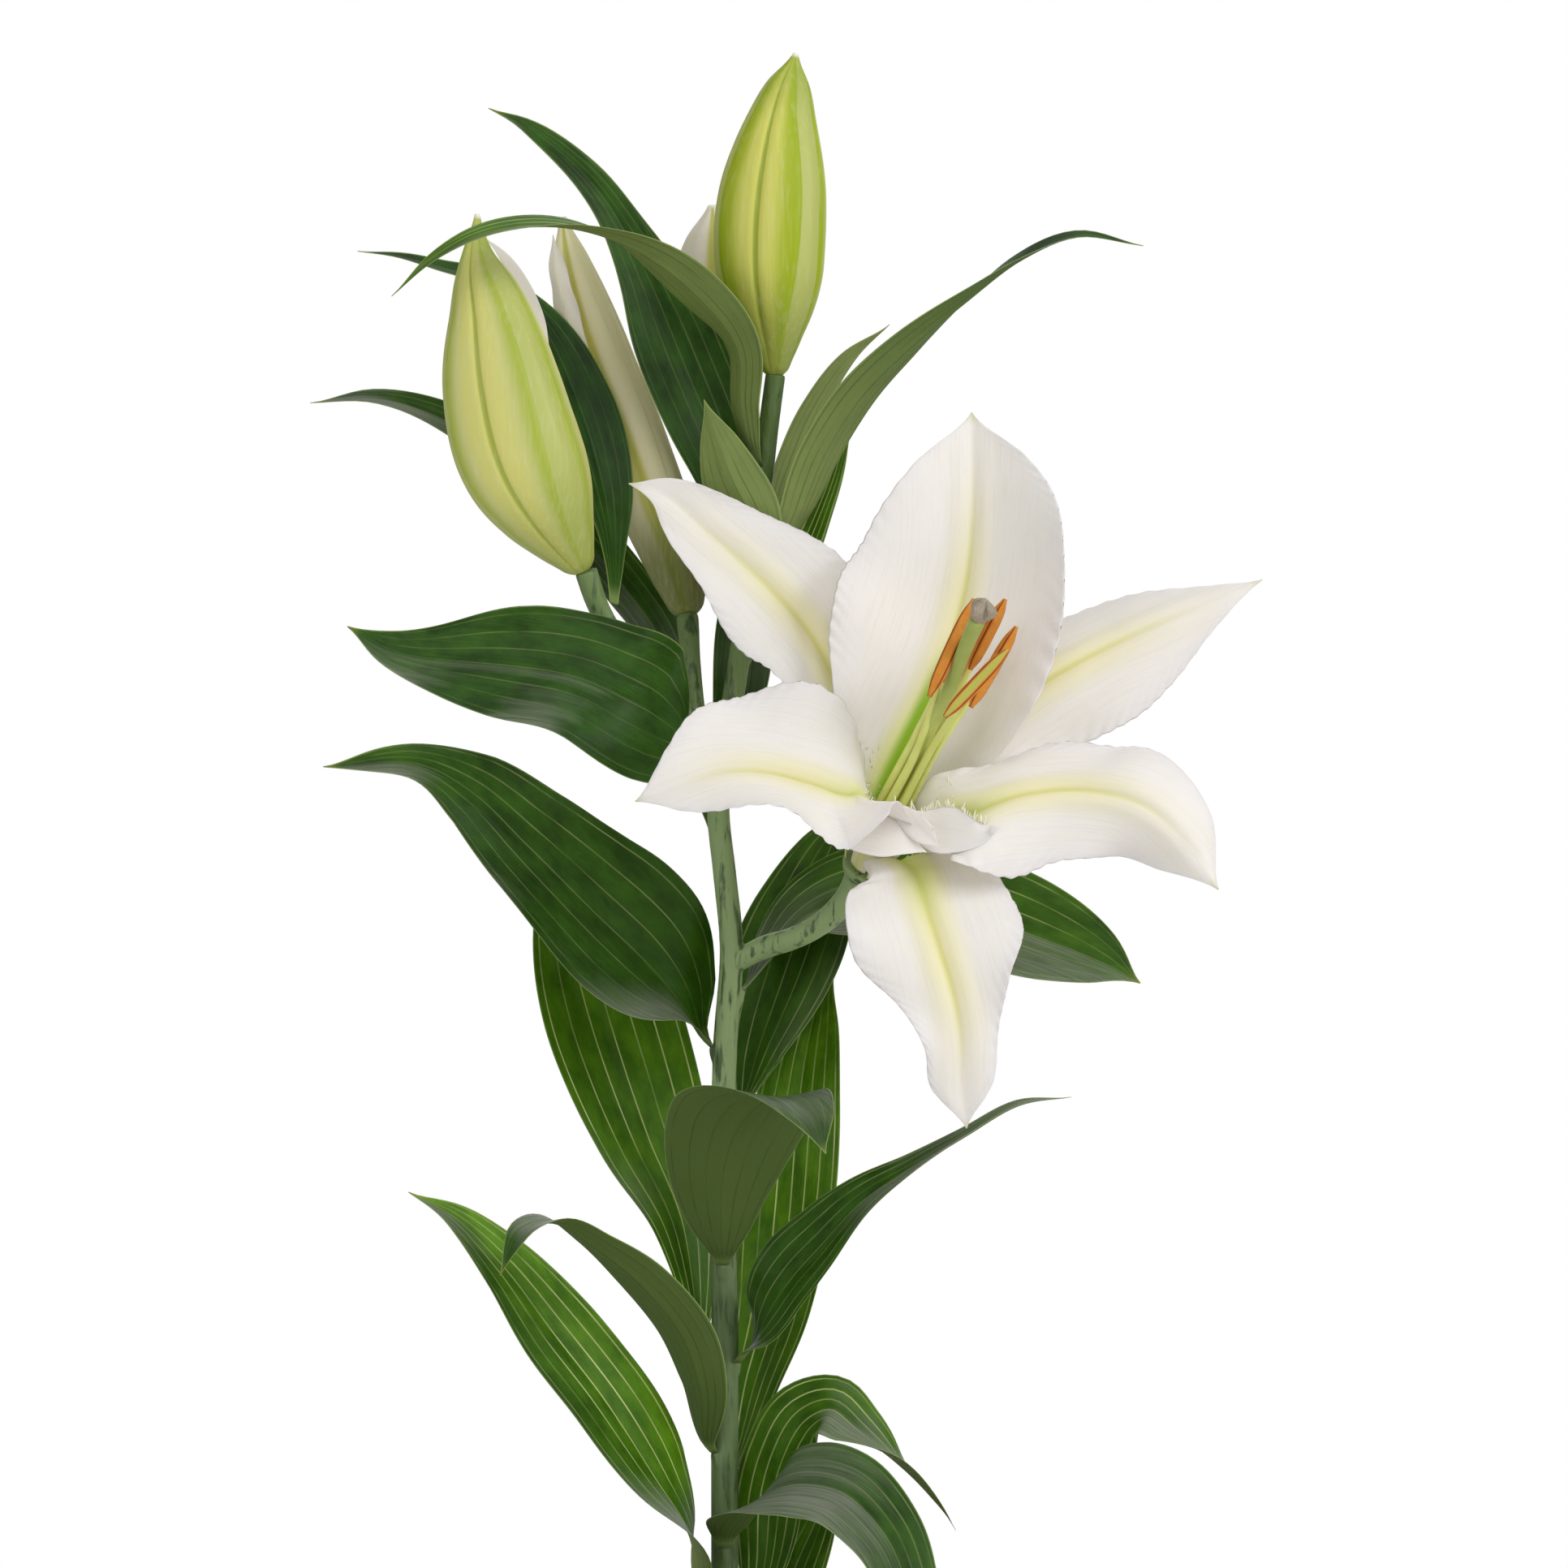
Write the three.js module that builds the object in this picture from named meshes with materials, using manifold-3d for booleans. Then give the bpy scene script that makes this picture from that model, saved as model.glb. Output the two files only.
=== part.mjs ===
// A potted oriental lily: one leafy stem with an open bloom and four buds, growing from a bulb in a clay pot.
// Units are millimetres, +Z is up, and the origin is the centre of the pot's underside.
// X runs along the picture plane and -Y faces the onlooker.
import * as THREE from "three";
import { mergeVertices } from "three/addons/utils/BufferGeometryUtils.js";
import Module from "manifold-3d";

const wasm = await Module();
wasm.setup();

// Driving dimensions
const GAP = 0.3; // clearance between pieces that touch
const LEAF_THICK = 0.8;
const TEPAL_THICK = 0.9;

const POT_HEIGHT = 140;
const POT_RIM_RADIUS = 80;
const POT_BAND = 24; // height of the thick band under the rim
const POT_WALL_RADIUS = 75; // outside of the wall just under the band
const POT_FOOT_RADIUS = 54;
const POT_WALL = 6.5;
const POT_FLOOR = 8;
const POT_SEGMENTS = 40;

const SOIL_TOP = 122;
const SOIL_LUMP = 2.2; // height of the lumps on the soil
const BULB_BOTTOM = 44;
const BULB_HEIGHT = 42;
const BULB_RADIUS = 24;
const BULB_ROOM = 2; // space that the bulb's scales keep from the soil round them

const STEM_FOOT_RADIUS = 4.3;
const PETIOLE_REACH = 3; // a leaf leaves the stem outwards by this much before it follows its own line
const PETIOLE_RISE = 3.5;

const FLOWER_BASE = new THREE.Vector3(42, -22, 424);
const FLOWER_AXIS = new THREE.Vector3(0.27, -0.68, 0.67).normalize();
const RECEPTACLE_RADIUS = 7.6;
const PETAL_SEAT = 0.5; // clearance of the tepals, stamens and pistil above the receptacle
const INNER_TEPAL_RING = 5.2; // radius at which the inner tepals stand on the receptacle
const OUTER_TEPAL_RING = 6.9;
const FILAMENT_RING = 3.5;
const FILAMENT_RADIUS = 0.8;
const FILAMENT_TIP = 0.6; // radius of a filament behind its anther
const ANTHER_RADIUS = 2.4;

// Colours and finishes
const finish = (color, roughness) => new THREE.MeshStandardMaterial({ color, roughness, metalness: 0 });
const clay = finish("#b5653f", 0.85);
const earth = finish("#3b2a1e", 1);
const bulbScale = finish("#d9c9a0", 0.7);
const greenStem = finish("#6f8f57", 0.5);
const greenLeaf = finish("#2f6b1e", 0.35);
const whiteTepal = finish("#f2eeea", 0.6);
const greenBud = finish("#b5c93a", 0.5);
const paleGreen = finish("#cfe07a", 0.5);
const orangePollen = finish("#c8702a", 0.9);
const mauveStigma = finish("#a59a96", 0.6);

const lily = new THREE.Group();

function place(name, geometry, material) {
  geometry.computeVertexNormals();
  const mesh = new THREE.Mesh(geometry, material);
  mesh.name = name;
  lily.add(mesh);
}

const vector = (p) => new THREE.Vector3(...p);
const curveThrough = (points) => new THREE.CatmullRomCurve3(points.map(vector));

// The value at t (0 to 1) of a smooth curve through evenly spaced values.
function smooth(values, t) {
  const last = values.length - 1;
  const i = Math.min(Math.floor(t * last), last - 1);
  const f = t * last - i;
  const [a, b, c, d] = [i - 1, i, i + 1, i + 2].map((k) => values[Math.max(0, Math.min(k, last))]);
  return b + 0.5 * f * (c - a + f * (2 * a - 5 * b + 4 * c - d + f * (3 * (b - c) + d - a)));
}

const smoothVector = (list, t) => vector([0, 1, 2].map((k) => smooth(list.map((v) => v[k]), t)));

// The part of a direction that is square to a tangent, one unit long.
const squareTo = (direction, tangent) =>
  direction.clone().addScaledVector(tangent, -direction.dot(tangent)).normalize();

// The middle surface of a blade, as rows of points from base to tip. `half` lists its half width and `upper`
// the way its upper side faces. `channel` (degrees) lifts both halves from the midrib, or bends them down
// where it is negative. `lean` (mm) sets the blade off sideways from its spine. `ripple` (mm) is the height
// of the `waves` waves along the edges, which start at `phase`.
function bladeSurface(shape) {
  const { spine, half, upper, channel, rows, columns } = shape;
  const { lean = [0, 0], ripple = 0, waves = 3, phase = 0 } = shape;
  const curve = curveThrough(spine);
  const points = [];
  for (let i = 0; i <= rows; i++) {
    const t = i / rows;
    const along = curve.getTangentAt(t);
    const up = squareTo(smoothVector(upper, t), along);
    const across = along.clone().cross(up);
    const w = smooth(half, t);
    const fold = THREE.MathUtils.degToRad(smooth(channel, t));
    for (let j = 0; j <= columns; j++) {
      const s = (2 * j) / columns - 1;
      const swell = Math.sin(Math.PI * t) * Math.sin(2 * Math.PI * waves * t + phase + 2 * s);
      const lift = w * Math.sin(fold) * Math.abs(s) ** 1.5 + ripple * Math.abs(s) ** 3 * swell;
      const point = curve.getPointAt(t).addScaledVector(across, s * w * Math.cos(fold) + smooth(lean, t));
      points.push(point.addScaledVector(up, lift));
    }
  }
  return points;
}

// A blade with a thickness: both faces are split into triangles alike, and the edges are closed.
function blade(shape) {
  const { rows, columns, thick } = shape;
  const middle = bladeSurface(shape);
  const count = middle.length;
  const index = (i, j) => Math.max(0, Math.min(i, rows)) * (columns + 1) + Math.max(0, Math.min(j, columns));
  const positions = new Float32Array(count * 6);
  for (let i = 0; i <= rows; i++) {
    for (let j = 0; j <= columns; j++) {
      const k = index(i, j);
      const along = middle[index(i + 1, j)].clone().sub(middle[index(i - 1, j)]);
      const across = middle[index(i, j + 1)].clone().sub(middle[index(i, j - 1)]);
      const offset = across.cross(along).setLength(thick / 2);
      middle[k].clone().add(offset).toArray(positions, k * 3);
      middle[k].clone().sub(offset).toArray(positions, (count + k) * 3);
    }
  }
  const triangles = [];
  const edge = (a, b) => triangles.push(a, b, b + count, a, b + count, a + count);
  for (let i = 0; i < rows; i++) {
    for (let j = 0; j < columns; j++) {
      const [a, b, c, d] = [index(i, j), index(i, j + 1), index(i + 1, j + 1), index(i + 1, j)];
      triangles.push(a, b, c, a, c, d);
      triangles.push(a + count, c + count, b + count, a + count, d + count, c + count);
    }
    edge(index(i, 0), index(i + 1, 0));
    edge(index(i + 1, columns), index(i, columns));
  }
  for (let j = 0; j < columns; j++) {
    edge(index(0, j + 1), index(0, j));
    edge(index(rows, j), index(rows, j + 1));
  }
  const geometry = new THREE.BufferGeometry();
  geometry.setAttribute("position", new THREE.BufferAttribute(positions, 3));
  geometry.setIndex(triangles);
  return geometry;
}

// Vertices that share a place are made one, which closes a turned shape.
function closed(geometry) {
  geometry.deleteAttribute("normal");
  geometry.deleteAttribute("uv");
  return mergeVertices(geometry, 1e-4);
}

// A round body along a spine: `radii` from end to end, `lobes` ridges of relative height `depth` lengthwise.
// `side` is the direction that the section's first side faces.
function spindle({ spine, radii, sides, rings, lobes = 0, depth = 0, side = [0, -1, 0] }) {
  const profile = [new THREE.Vector2(0, 0)];
  for (let i = 0; i <= rings; i++) profile.push(new THREE.Vector2(smooth(radii, i / rings), i / rings));
  profile.push(new THREE.Vector2(0, 1));
  const body = closed(new THREE.LatheGeometry(profile, sides));
  const curve = curveThrough(spine);
  const position = body.attributes.position;
  for (let k = 0; k < position.count; k++) {
    const [x, z] = [position.getX(k), position.getZ(k)];
    const t = THREE.MathUtils.clamp(position.getY(k), 0, 1);
    const along = curve.getTangentAt(t);
    const first = squareTo(vector(side), along);
    const second = first.clone().cross(along);
    const ridge = 1 + depth * Math.sin(Math.PI * t) * Math.cos(lobes * Math.atan2(z, x));
    const at = curve.getPointAt(t).addScaledVector(first, x * ridge).addScaledVector(second, z * ridge);
    position.setXYZ(k, at.x, at.y, at.z);
  }
  return body;
}

function toSolid(geometry) {
  const vertProperties = geometry.attributes.position.array;
  const triVerts = new Uint32Array(geometry.index.array);
  return new wasm.Manifold(new wasm.Mesh({ numProp: 3, vertProperties, triVerts }));
}

function fromSolid(solid) {
  const mesh = solid.getMesh();
  const geometry = new THREE.BufferGeometry();
  geometry.setAttribute("position", new THREE.BufferAttribute(mesh.vertProperties, 3));
  geometry.setIndex(new THREE.BufferAttribute(mesh.triVerts, 1));
  return geometry;
}

const fused = (pieces) => fromSolid(pieces.map(toSolid).reduce((all, piece) => all.add(piece)));

// Turned about the vertical axis from [radius, height] pairs.
function turned(pairs, segments) {
  const geometry = new THREE.LatheGeometry(pairs.map(([r, z]) => new THREE.Vector2(r, z)), segments);
  geometry.rotateX(Math.PI / 2);
  return closed(geometry);
}

// Moves each vertex of a turned shape to the place that `rule` gives for it.
function shaped(geometry, rule) {
  const position = geometry.attributes.position;
  for (let k = 0; k < position.count; k++) {
    position.setXYZ(k, ...rule(position.getX(k), position.getY(k), position.getZ(k)));
  }
  return geometry;
}

// The clay pot: a tapered wall with a thick band under the rim.
const BAND_FOOT = POT_HEIGHT - POT_BAND;
const SHOULDER = BAND_FOOT - 4; // where the inside of the wall turns out into the band
const innerRadius = (z) => THREE.MathUtils.lerp(POT_FOOT_RADIUS, POT_WALL_RADIUS, z / BAND_FOOT) - POT_WALL;
const RIM_INSIDE = POT_RIM_RADIUS - POT_WALL;
const bandInside = (z) =>
  THREE.MathUtils.mapLinear(z, SHOULDER, POT_HEIGHT, innerRadius(SHOULDER), RIM_INSIDE);
const potProfile = [
  [0, 0],
  [POT_FOOT_RADIUS - 2, 0],
  [POT_FOOT_RADIUS, 2],
  [POT_WALL_RADIUS, BAND_FOOT],
  [POT_RIM_RADIUS - 1.5, BAND_FOOT],
  [POT_RIM_RADIUS, BAND_FOOT + 2],
  [POT_RIM_RADIUS, POT_HEIGHT - 3],
  [POT_RIM_RADIUS - 2, POT_HEIGHT],
  [RIM_INSIDE, POT_HEIGHT],
  [innerRadius(SHOULDER), SHOULDER],
  [innerRadius(POT_FLOOR), POT_FLOOR],
  [0, POT_FLOOR],
];
place("pot", turned(potProfile, POT_SEGMENTS), clay);

// The bulb: fleshy scales that overlap in a spiral round a pointed body, drawn as relief.
const BULB_TOP = BULB_BOTTOM + BULB_HEIGHT;
const bulbRadius = (t) => BULB_RADIUS * Math.sin(Math.PI * (0.12 + 0.76 * t ** 0.8)) ** 0.9;
const bulbPoint = (t, room) => [bulbRadius(t) + room, BULB_BOTTOM + BULB_HEIGHT * t];
const bulbProfile = (rings, room) => Array.from({ length: rings + 1 }, (_, i) => bulbPoint(i / rings, room));
const bulbScales = (x, y, z) => {
  const t = (z - BULB_BOTTOM) / BULB_HEIGHT;
  const dent = 1 - 0.07 * Math.sin(Math.PI * t) * (1 - Math.cos(6 * Math.atan2(y, x) + 9 * t));
  return [x * dent, y * dent, z];
};
const bulb = turned([[0, BULB_BOTTOM], ...bulbProfile(8, 0), [0, BULB_TOP]], 18);
place("bulb", shaped(bulb, bulbScales), bulbScale);

// The soil: it fills the pot to below the rim, with a plain hole for the stem over the bulb's hollow.
const STEM_HOLE = STEM_FOOT_RADIUS + 2 * GAP;
const SOIL_EDGE = bandInside(SOIL_TOP) - GAP;
const HOLLOW_TOP = BULB_TOP + 5;
const soilProfile = [
  [0, POT_FLOOR + GAP],
  [innerRadius(POT_FLOOR) - GAP, POT_FLOOR + GAP],
  [innerRadius(SHOULDER) - GAP, SHOULDER],
  [SOIL_EDGE, SOIL_TOP],
  ...[61, 52, 43, 34, 25, 16, 9].map((r) => [r, SOIL_TOP]),
  [STEM_HOLE, SOIL_TOP],
  [STEM_HOLE, HOLLOW_TOP],
  ...bulbProfile(6, BULB_ROOM).reverse(),
  [bulbRadius(0) + BULB_ROOM, BULB_BOTTOM - GAP],
  [0, BULB_BOTTOM - GAP],
];
const soilLumps = (x, y, z) => {
  const r = Math.hypot(x, y);
  if (z < SOIL_TOP - 1 || r > SOIL_EDGE - 1) return [x, y, z];
  const lump = Math.sin(0.31 * x + 1.1) * Math.sin(0.27 * y) + 0.7 * Math.sin(0.52 * y + 0.4 * x);
  return [x, y, z + SOIL_LUMP * (lump - 0.6) + 3 * Math.exp(-r / 18)];
};
place("soil", shaped(turned(soilProfile, 36), soilLumps), earth);

// The stem and the flower stalks grow as one piece. The stem's line runs from the bulb to the top bud.
const STEM_FOOT = BULB_TOP + GAP;
const STEM_LINE = [
  [0, 0, STEM_FOOT], [0, 0, 150], [0, 0, 215], [0, 0, 295], [0, 0, 367], [2, 0, 398], [0, 0, 420],
  [-2, 0, 441], [0, 1, 458], [4, 2, 482], [8, 3, 511], [11, 3, 535], [13, 1, 553], [15, 0, 566.5],
];
const STEM_RADII = [STEM_FOOT_RADIUS, 4.2, 4.1, 4.1, 4, 3.7, 3.5, 3.3, 3.1, 3];
const alongAxis = (rise) => FLOWER_BASE.clone().addScaledVector(FLOWER_AXIS, rise).toArray();
const STALKS = [
  {
    spine: [
      [1, 0, 393], [11, -3, 398.5], [20, -8, 401.5], [27, -11, 405], [33, -14, 410],
      alongAxis(-7), alongAxis(0),
    ],
    radii: [3, 3.5, 3.4, 3.5, 4.2, RECEPTACLE_RADIUS],
  },
  {
    spine: [
      [-1, 0, 448], [-5, 1, 458], [-12, -2, 468], [-22, -8, 478], [-31, -12, 489], [-37, -14, 499],
      [-40, -16, 508],
    ],
    radii: [2.6, 3.1, 3, 3, 3.4],
  },
  {
    spine: [[-2, 0, 436], [-5, 1, 452], [-8, 3, 465], [-10, 8, 482], [-11, 15, 495.5]],
    radii: [2.6, 2.9, 2.8, 2.9, 3.4],
  },
  {
    spine: [[9, 3, 508], [11, 11, 513], [8, 20, 519], [1, 27, 526], [-3, 28, 531], [-3, 28.3, 535.7]],
    radii: [2.4, 2.8, 2.7, 2.8, 3],
  },
];
const stalks = STALKS.map((shape) => spindle({ ...shape, sides: 8, rings: 8, side: [0.3, -1, 0.2] }));
place(
  "stem",
  fused([spindle({ spine: STEM_LINE, radii: STEM_RADII, sides: 10, rings: 26 }), ...stalks]),
  greenStem,
);

// Buds: closed, three-ridged, on the tips of their stalks.
const BUDS = [
  {
    name: "bud_top",
    spine: [[15, 0, 567.2], [14, 0, 590], [14, 0, 608], [15.5, 0, 628], [17.5, 0, 645], [21, -1, 663]],
    radii: [3.4, 7.8, 12.6, 15.6, 16.5, 16.4, 15.4, 13.2, 10.2, 6.6, 0.8],
  },
  {
    name: "bud_left",
    spine: [
      [-41, -16, 508.9], [-51.5, -17, 528], [-59.5, -18, 546], [-64, -19, 563], [-68, -19, 584],
      [-72, -18, 601], [-72.4, -18, 614],
    ],
    radii: [4, 9.2, 14.3, 17.6, 18.8, 18.5, 17.4, 15.5, 12.6, 9, 4.2, 0.8],
  },
  {
    name: "bud_opening",
    spine: [
      [-11, 15.6, 496.6], [-14, 18, 511], [-21, 22, 530], [-30, 27, 555], [-39, 29, 578], [-45.5, 29, 600],
      [-49, 29, 617],
    ],
    radii: [4.6, 8.4, 10, 10.6, 10.6, 10.6, 10.4, 10, 8.4, 5.5, 1.2],
  },
  {
    name: "bud_back",
    spine: [[-3, 28.4, 536.4], [-3, 31, 561], [-3, 33, 585], [-4, 34, 621]],
    radii: [3.4, 6.5, 9, 11, 12.4, 13, 13, 11.6, 8, 1.4],
  },
];
for (const { name, ...shape } of BUDS) {
  place(name, spindle({ ...shape, sides: 15, rings: 10, lobes: 3, depth: 0.07 }), greenBud);
}

// Leaves. Each springs from the stem at height `at`, on the side `out` (degrees from +X towards +Y), and then
// follows its own line. Half widths run evenly from base to tip.
const LEAVES = [
  {
    name: "leaf_01", at: 500, out: 150, channel: [8, 8],
    line: [[0, 9, 538], [-13, 9, 574], [-27, 7, 606], [-40, 6, 626], [-59, 3, 642], [-70, 2, 647]],
    half: [2, 5, 10, 13, 13.6, 13, 9.5, 6.4, 5, 3.4, 0.5],
    upper: [[0.3, -1, 0], [0.2, -1, 0.2], [0, -0.8, 0.5]],
  },
  {
    name: "leaf_02", at: 541, out: -122, channel: [12, 12],
    line: [
      [5, -10, 558], [4, -16, 575], [-9, -24, 591], [-28, -32, 604], [-47, -38, 609], [-68, -42, 607],
      [-84, -44, 599], [-96, -44, 588],
    ],
    half: [2, 6.5, 9.5, 9.5, 8.5, 7.5, 5.5, 3, 0.5],
    upper: [[0.8, 0.5, 0.3], [0.3, 0.6, 0.8], [0.1, -0.1, 1], [0, -0.5, 0.9], [0, -0.5, 0.9]],
  },
  {
    name: "leaf_04", at: 430, out: 105, channel: [10, 10],
    line: [
      [-9, 13, 452], [-14, 19, 476], [-21, 29, 493], [-31, 34, 507], [-47, 35, 526], [-66, 32, 545],
      [-86, 24, 557], [-105, 14, 562], [-123, 6, 560],
    ],
    half: [2, 4, 6.5, 9, 9.5, 9, 8, 6.5, 4, 0.5],
    upper: [[0.5, -0.8, 0.3], [0.4, -0.8, 0.4], [0, -0.6, 0.8]],
  },
  {
    name: "leaf_06", at: 444, out: 228, channel: [8, 8], ripple: 1.5,
    line: [
      [-13, -14, 460], [-21, -25, 465], [-30, -31, 469], [-42, -31, 474], [-62, -29, 479], [-96, -27, 486],
      [-110, -25, 493],
    ],
    half: [2, 8, 17, 21.5, 21, 20, 18.5, 15, 10.5, 5.5, 0.5],
    upper: [[0.6, -0.8, 0], [0.5, -0.9, 0.2], [0, -0.95, 0.35], [0, -0.9, 0.4]],
    lean: [0, 1, 3, 4, 2, 0, 0],
  },
  {
    name: "leaf_07", at: 369, out: 178, channel: [16, 16], ripple: 1.5,
    line: [
      [-13, -1, 384], [-24, -6, 399], [-41, -12, 415], [-57, -18, 430], [-74, -22, 445], [-90, -24, 453],
      [-117, -26, 452],
    ],
    half: [3, 18, 24, 25, 23, 20, 16, 12, 7, 3.8, 0.5],
    upper: [[0.4, -0.8, 0.4], [0.35, -0.85, 0.3], [0.2, -0.95, 0.25], [0.1, -0.93, 0.3], [0, -0.9, 0.4]],
    lean: [0, -2, -3, -2, -1, 0, 0, 0],
  },
  {
    name: "leaf_08", at: 280, out: 150, channel: [10, 10],
    line: [[-13, 12, 318], [-23, 18, 342], [-33, 24, 371], [-42, 28, 402], [-48, 30, 427], [-54, 30, 442]],
    half: [2, 10, 16, 19.5, 21.5, 21.5, 18, 10, 0.5],
    upper: [[0.5, -0.8, 0.2], [0.3, -1, 0.1], [0.2, -1, 0.2]],
  },
  {
    name: "leaf_09", at: 305, out: -95, channel: [8, 8],
    line: [[-1, -17, 328], [3, -27, 345], [11, -38, 355], [19, -48, 356], [25, -56, 351], [29.5, -62, 341]],
    half: [2, 10, 16, 20, 22, 17, 9, 0.6],
    upper: [[0, 0.8, 0.6], [0.1, 0, 1], [0.3, -0.8, 0.5]],
  },
  {
    name: "leaf_10", at: 244, out: 66, channel: [10, 10],
    line: [
      [8.5, 11, 268], [15, 16, 289], [19, 21, 318], [21, 24, 342], [24, 28, 366], [28, 30, 383],
      [33, 30, 396],
    ],
    half: [2, 9, 13, 15, 15, 13, 9, 0.5],
    upper: [[-0.5, -0.8, 0.2], [-0.2, -1, 0], [-0.2, -1, 0.2]],
  },
  {
    name: "leaf_11", at: 276, out: -25, channel: [14, 14],
    line: [
      [16, -14, 294], [27, -20, 309], [40, -26, 325], [54, -30, 335], [70, -33, 345], [86, -34, 354],
      [101, -34, 356],
    ],
    half: [3, 10, 14, 12.5, 8.5, 5.5, 4, 3, 0.5],
    upper: [
      [-0.5, -0.75, 0.4], [-0.5, -0.7, 0.5], [-0.5, -0.65, 0.55], [-0.5, -0.6, 0.6], [-0.45, -0.45, 0.75],
      [-0.4, -0.3, 0.85], [-0.3, -0.25, 0.9], [-0.2, -0.2, 0.95],
    ],
    lean: [0, -1.5, -2.5, -1, 0, 0, 0, 0, 0],
  },
  {
    name: "leaf_12", at: 350, out: 40, channel: [8, 8],
    line: [[10, 11, 369], [17, 17, 389], [24, 23, 409], [31, 27, 427], [40, 28, 442]],
    half: [2, 12, 17, 18, 15, 9, 0.5],
    upper: [[-0.5, -0.8, 0.3], [-0.3, -1, 0.1], [-0.2, -1, 0.2]],
  },
  {
    name: "leaf_13", at: 386, out: 15, channel: [10, 10],
    line: [
      [13, 6, 396], [18, 10, 402], [25, 12, 408], [34, 12, 412], [46, 10, 414], [62, 7, 413], [81, 5, 408],
      [100, 4, 401], [114, 3, 394], [123, 2, 388],
    ],
    half: [2, 8, 14, 17, 18, 19, 19.5, 19, 16, 10, 0.5],
    upper: [[-0.3, -0.7, 0.6], [0, -0.8, 0.6], [0.2, -0.8, 0.5]],
    lean: [0, 0, 0, 0, 1, 2, 2.5, 2.5, 1.5, 0],
  },
  {
    name: "leaf_14", at: 196, out: 20, channel: [8, 8],
    line: [
      [10, 4, 215], [12, 2, 234], [17.5, -5, 250], [24.5, -11, 261], [32, -17, 265], [40.5, -21, 260],
      [49, -26, 251], [58, -30, 242.5], [64.5, -33, 235], [67.5, -34, 230],
    ],
    half: [2, 7, 10, 12, 12.5, 12.5, 11, 9, 8, 5, 0.5],
    lean: [0, 1.5, 2, 1.5, 0.5, 0, 1.5, 3, 1.5, 0, 0],
    upper: [
      [-0.5, -0.8, 0.3], [-0.3, -0.85, 0.4], [-0.2, -0.85, 0.5], [0.05, -0.7, 0.7], [0.75, 0.1, 0.65],
      [0.8, 0.1, 0.6],
    ],
  },
  {
    name: "leaf_15", at: 222, out: -90, channel: [8, 8],
    line: [
      [1, -13, 229], [5, -21, 234], [12, -30, 239.5], [22, -38, 242.5], [34, -46, 240.5], [45, -53, 231],
      [52, -58, 219], [57, -61, 206], [61, -63, 193],
    ],
    half: [2.5, 7, 10, 14, 15, 14, 12.5, 11, 9.5, 7, 0.5],
    lean: [0, 0, -1, -2, -2, -2, -1.5, -1, 0, 0, 0],
    upper: [
      [0, -0.15, 1], [-0.1, -0.5, 0.85], [0, -0.75, 0.65], [0, -0.8, 0.6], [0.2, -0.8, 0.5],
      [0.4, -0.75, 0.5], [0.5, -0.75, 0.45],
    ],
  },
  {
    name: "leaf_16", at: 203, out: 205, channel: [12, 12],
    line: [
      [-10, -9, 226], [-20, -14, 243], [-35, -20, 267], [-50, -24, 287], [-64, -27, 306], [-79, -28, 321],
      [-92, -28, 328],
    ],
    half: [2, 11, 15, 16, 15, 14, 10.5, 6, 0.5],
    upper: [[0.5, -0.6, 0.5], [0.4, -0.8, 0.4], [0.2, -0.7, 0.7]],
  },
  {
    name: "leaf_17", at: 250, out: -135, channel: [12, 12],
    line: [
      [-7, -18, 270], [-12, -26, 286], [-24, -36, 302], [-38, -44, 314], [-49, -52, 321], [-57, -58, 319],
      [-61, -60, 313], [-64, -60, 306],
    ],
    half: [2, 6, 9, 10.5, 10.5, 10, 9, 8, 5, 0.5],
    upper: [[0.5, 0.7, 0.3], [0.5, 0.7, 0.4], [0.2, 0.2, 0.9], [-0.6, -0.8, 0.2]],
  },
  {
    name: "leaf_19", at: 168, out: 50, channel: [8, 8],
    line: [[12, 9, 193], [21, 10, 215], [28, 9, 232], [29, 7, 246]],
    half: [2, 8, 12, 11, 7, 0.5],
    upper: [[-0.5, -0.8, 0.3], [-0.4, -0.9, 0.2], [-0.3, -1, 0.1]],
  },
  {
    name: "leaf_20", at: 498, out: -5, channel: [12, 12],
    line: [
      [17, 2, 516], [22, -1, 527], [29, -7, 544], [40, -12, 561], [54, -16, 575], [71, -18, 589],
      [87, -18, 601], [104, -16, 608], [123, -14, 605],
    ],
    half: [2, 6, 8, 8.5, 8.5, 8, 7, 5, 2.5, 0.5],
    upper: [[-0.5, 0.6, 0.5], [-0.4, 0.5, 0.7], [-0.2, -0.1, 0.9], [0, -0.7, 0.7]],
  },
  {
    name: "leaf_21", at: 514, out: 88, channel: [10, 10],
    line: [[14, 16, 527], [20, 20, 542], [27, 21, 559], [37, 19, 574], [49, 16, 584]],
    half: [2, 5, 6, 5.5, 4, 0.5],
    upper: [[-0.5, 0.7, 0.4], [-0.5, 0.6, 0.6], [-0.3, 0.4, 0.8]],
  },
  {
    name: "leaf_22", at: 496, out: -78, channel: [8, 8],
    line: [[8.5, -6, 512], [7.5, -7, 525], [2, -8, 537], [-2, -10, 548], [-6, -12, 560]],
    half: [2, 5, 9, 9.5, 6, 0.5],
    upper: [[0, 0.9, 0.2], [0, 0.9, 0.2], [0.2, 0.9, 0.4]],
  },
  {
    name: "leaf_23", at: 488, out: 35, channel: [8, 8],
    line: [[19, 8, 510], [25, 9, 523], [30, 9, 535], [34, 9, 546], [38, 9, 556]],
    half: [2, 4, 7, 6, 4, 0.5],
    upper: [[-0.4, -0.9, 0.2], [-0.4, -0.9, 0.3], [-0.3, -0.9, 0.3]],
  },
  {
    name: "leaf_24", at: 448, out: 75, channel: [10, 10],
    line: [[4, 16, 472], [6, 30, 495], [8, 42, 520], [9, 52, 545]],
    half: [2, 7, 9, 8, 5, 0.5],
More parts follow.
